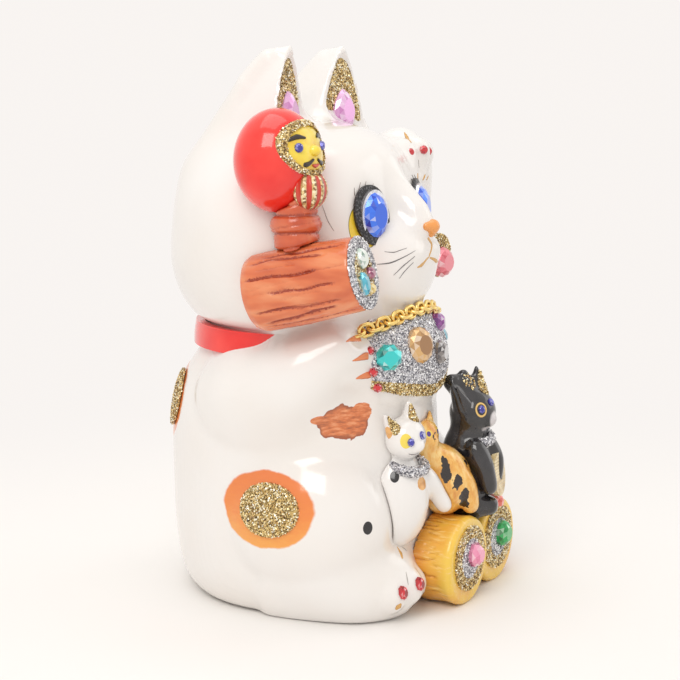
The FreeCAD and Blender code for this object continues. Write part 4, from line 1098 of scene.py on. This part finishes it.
GOLD_STROKES = [
    ("mouth_stem", [(-1.2, -33.9, 122.0), (1.9, -33.0, 120.2), (1.5, -33.2, 118.2),
                    (-0.2, -33.3, 116.2)],
     (0.8, 1.1, 0.8, 0.7)),
    ("mouth_right", [(-0.4, -33.3, 115.9), (-2.8, -33.4, 115.2), (-5.2, -33.2, 113.9),
                     (-7.3, -32.6, 113.3)],
     (0.5, 1.1, 1.6, 0.3)),
    ("mouth_left", [(0.2, -33.3, 115.7), (2.8, -33.4, 114.9), (5.0, -33.2, 114.0),
                    (7.0, -32.6, 113.5)],
     (0.5, 1.1, 1.4, 0.3)),
    ("raised_line", [(25.2, -10.6, 154.0), (23.9, -12.4, 152.4), (21.2, -15.1, 150.8)],
     (0.4, 1.5, 0.6)),
    ("raised_claw_0", [(21.9, -17.0, 140.8), (21.2, -17.1, 139.8), (20.4, -16.8, 138.4)],
     (0.4, 1.5, 0.5)),
    ("raised_claw_1", [(26.2, -17.8, 140.2), (25.6, -17.8, 139.4), (24.8, -17.3, 138.4)],
     (0.3, 1.1, 0.4)),
    ("raised_claw_2", [(31.6, -16.3, 139.4), (31.4, -16.2, 138.7), (31.1, -15.8, 138.0)],
     (0.3, 0.9, 0.3)),
    ("toe_line", [(-16.6, -31.0, 23.1), (-16.9, -32.3, 21.5), (-18.6, -33.9, 20.1)],
     (0.3, 1.6, 0.5)),
    ("toe_oval", [(-27.3, -36.4, 5.9), (-26.9, -37.1, 7.0), (-26.4, -37.6, 8.1)], (0.8, 2.4, 0.8)),
]
CLAW_STROKES = [
    ("claw_0", [(-33.3, -21.4, 92.3), (-29.8, -21.5, 92.5), (-26.9, -21.6, 92.4),
                (-25.2, -22.0, 92.0)]),
    ("claw_1", [(-32.0, -22.9, 86.2), (-29.6, -24.0, 86.7), (-27.4, -24.7, 87.0),
                (-25.6, -25.1, 86.9)]),
    ("claw_2", [(-29.2, -22.6, 80.0), (-27.2, -23.6, 80.4), (-25.6, -24.6, 80.7),
                (-24.4, -25.2, 80.8)]),
]
CLAW_WIDTHS = (0.3, 1.7, 2.5, 2.2)
PALE_STROKES = [
    ("temple_line", [(-31.9, -12.0, 134.2), (-31.6, -12.9, 131.8), (-31.2, -13.7, 129.3),
                     (-30.0, -15.2, 126.1)],
     (0.12, 0.3, 0.35, 0.15)),
    ("raised_finger_line", [(22.9, -16.9, 145.3), (23.1, -16.8, 143.9), (23.3, -16.7, 142.5)],
     (0.1, 0.25, 0.1)),
    ("toe_cleft", [(-21.3, -36.7, 16.9), (-22.2, -37.6, 15.0), (-22.9, -38.4, 13.3)],
     (0.1, 0.4, 0.15)),
    ("toe_hair", [(-14.0, -31.4, 22.4), (-13.2, -32.0, 21.6), (-12.7, -32.4, 20.6)],
     (0.15, 0.4, 0.15)),
]
WHISKERS = [
    [(-16.3, -25.6, 118.9), (-14.4, -27.7, 118.6), (-12.6, -29.1, 119.1), (-10.6, -30.6, 119.8)],
    [(-18.4, -24.1, 115.0), (-15.6, -27.4, 115.4), (-12.2, -30.1, 116.9), (-8.6, -32.5, 118.8)],
    [(-14.8, -28.1, 111.4), (-12.2, -30.2, 114.2), (-9.0, -32.6, 117.1)],
    [(-13.0, -29.2, 110.2), (-11.7, -30.3, 112.3), (-9.3, -32.3, 115.2)],
]
WHISKER_WIDTHS = ((0.12, 0.32, 0.22, 0.1), (0.2, 0.5, 0.32, 0.12), (0.12, 0.4, 0.15),
                  (0.1, 0.3, 0.12))
LASHES = [
    [(-21.2, -17.5, 136.6), (-21.0, -17.3, 137.8), (-20.7, -17.1, 139.0)],
    [(-19.6, -17.6, 137.2), (-18.8, -17.6, 138.8), (-17.9, -17.8, 140.5)],
    [(-17.4, -18.4, 138.0), (-16.5, -18.4, 139.2), (-15.6, -18.5, 140.7)],
    [(-14.4, -19.6, 137.6), (-13.6, -19.6, 138.6), (-12.8, -19.5, 139.8)],
]
LASH_WIDTHS = (0.38, 0.22, 0.06)


def strokes(skin):
    """The cat's painted lines: mouth, claws, whiskers, lashes and a few pale hairs."""
    ink = glazed("whisker_line", (0.13, 0.12, 0.12), 0.35, 0.1)
    lash = glazed("lash_line", (0.16, 0.12, 0.10), 0.4, 0.1)
    pale = glazed("grey_line", (0.40, 0.37, 0.34), 0.35, 0.1)
    gold = glazed("gold_line", GOLD_PAINT, 0.25, 0.3)
    claw = glazed("claw_line", CLAW_PAINT, 0.25, 0.3)
    for name, points, widths in GOLD_STROKES:
        stroke(name, skin, points, widths, gold, "gold_plate")
    for name, points in CLAW_STROKES:
        stroke(name, skin, points, CLAW_WIDTHS, claw, "orange_glaze")
    for name, points, widths in PALE_STROKES:
        stroke(name, skin, points, widths, pale)
    hairs = [("whisker_%s_%d", i, points, widths, ink)
             for i, (points, widths) in enumerate(zip(WHISKERS, WHISKER_WIDTHS))]
    hairs += [("lash_%s_%d", i, points, LASH_WIDTHS, lash) for i, points in enumerate(LASHES)]
    for name, i, points, widths, paint_line in hairs:
        stroke(name % ("right", i), skin, points, widths, paint_line)
        mirrored = [(-x, y, z) for x, y, z in points]
        stroke(name % ("left", i), skin, mirrored, widths, paint_line)


DOLL_MIDDLE = (-42.6, 152.4)  # X and Z
# points across and up from the middle of the face
DOLL_BROW = ([(8.4, 2.0), (6.0, 3.6), (3.4, 3.4)], (0.9, 1.8, 0.7))
DOLL_MOUSTACHE = ([(1.2, -3.4), (4.2, -4.8), (7.6, -4.0), (9.0, -2.6)], (0.8, 1.7, 1.1, 0.4))
DOLL_MOUTH = ([(-1.8, -16.2, -5.0), (0.0, -16.4, -5.4), (1.8, -16.2, -5.0)], (0.5, 1.4, 0.5))


def daruma_strokes(face):
    """The doll's brows, moustache and mouth."""
    ink = glazed("doll_ink", (0.03, 0.02, 0.015), 0.3, 0.3)
    lips = glazed("doll_lips", (0.66, 0.06, 0.03), 0.3, 0.3)
    across, up = DOLL_MIDDLE
    for side, tag in ((-1, "right"), (1, "left")):
        for name, (points, widths) in (("brow_", DOLL_BROW), ("moustache_", DOLL_MOUSTACHE)):
            points = [(across + side * x, -16.0 + 0.07 * x * x, up + z) for x, z in points]
            stroke(name + tag, face, points, widths, ink, lift=0.2, thick=0.3)
    points, widths = DOLL_MOUTH
    points = [(across + x, y, up + z) for x, y, z in points]
    stroke("doll_mouth", face, points, widths, lips, lift=0.2, thick=0.3)


# ---- stage -------------------------------------------------------------------

BACKDROP = (0.945, 0.908, 0.882)
FLOOR = (0.90, 0.875, 0.85)
FLOOR_REACH = 6.0
FLOOR_FADE = (0.10, 0.34)  # how far from the middle the floor fades
SKY = (1.0, 0.985, 0.965)
SKY_STRENGTH = 0.74
AIM = (0.0, 0.0, 0.09)
# name, place, size, power and colour
LAMPS = (
    ("key", (-0.85, -0.20, 0.95), 0.6, 5.0, (1.0, 0.985, 0.96)),
    ("fill", (0.9, -0.8, 0.6), 0.8, 1.6, (1.0, 1.0, 1.0)),
    ("top", (0.0, 0.1, 1.3), 0.9, 3.3, (1.0, 1.0, 1.0)),
)


def seen_share(tree):
    """1 for what the camera sees, straight or in a reflection or refraction."""
    path = tree.nodes.new("ShaderNodeLightPath").outputs
    seen = path["Is Camera Ray"]
    for label in ("Is Glossy Ray", "Is Transmission Ray"):
        either = tree.nodes.new("ShaderNodeMath")
        either.operation = "MAXIMUM"
        tree.links.new(seen, either.inputs[0])
        tree.links.new(path[label], either.inputs[1])
        seen = either.outputs[0]
    return seen


def blend_out(tree, share, lit, plain, output):
    """Puts a plain shader over a lit one by a share."""
    mixer = tree.nodes.new("ShaderNodeMixShader")
    for socket, value in zip(mixer.inputs, (share, lit.outputs[0], plain.outputs[0])):
        tree.links.new(value, socket)
    tree.links.new(mixer.outputs[0], tree.nodes[output].inputs["Surface"])


def stage():
    """A pale floor that fades, for the camera, into the backdrop's colour."""
    rows = [(x * FLOOR_REACH, y * FLOOR_REACH, 0) for x, y in ((-1, -1), (1, -1), (1, 1), (-1, 1))]
    shader = Shader("floor")
    shader.set(Base_Color=FLOOR, Roughness=0.9, Specular_IOR_Level=0.1)
    fade = shader.step(shader.vector("LENGTH", shader.place()), *FLOOR_FADE)
    glow = shader.node("ShaderNodeEmission")
    shader.feed(glow.inputs["Color"], BACKDROP)
    share = shader.math("MULTIPLY", fade, seen_share(shader.tree))
    blend_out(shader.tree, share, shader.bsdf, glow, "Material Output")
    add_mesh("floor", rows, [[(0, 1, 2, 3)]], shader, smooth=False)


def lights():
    """An even sky, and three soft lamps."""
    world = bpy.data.worlds.new("world")
    bpy.context.scene.world = world
    world.use_nodes = True
    tree = world.node_tree
    sky = tree.nodes["Background"]
    sky.inputs["Color"].default_value = (*SKY, 1.0)
    sky.inputs["Strength"].default_value = SKY_STRENGTH
    plain = tree.nodes.new("ShaderNodeBackground")
    plain.inputs["Color"].default_value = (*BACKDROP, 1.0)
    blend_out(tree, seen_share(tree), sky, plain, "World Output")
    for name, place, size, power, colour in LAMPS:
        light = bpy.data.lights.new(name, "AREA")
        light.shape = "RECTANGLE"
        light.size = light.size_y = size
        light.energy = power
        light.color = colour
        obj = bpy.data.objects.new(name, light)
        bpy.context.scene.collection.objects.link(obj)
        obj.location = place
        obj.rotation_euler = (Vector(AIM) - Vector(place)).to_track_quat("-Z", "Y").to_euler()


# ---- build -------------------------------------------------------------------

stage()
lights()
lower, upper = cat_skin()
stones()
mallet()
bales()
daruma()
black_kitten = kittens()
skin = Surface(lower, upper)
glitter_all(skin.ray, black_kitten)
strokes(skin)
daruma_strokes(Surface(nodes["daruma_face"]))

bpy.context.scene.view_settings.view_transform = "Standard"
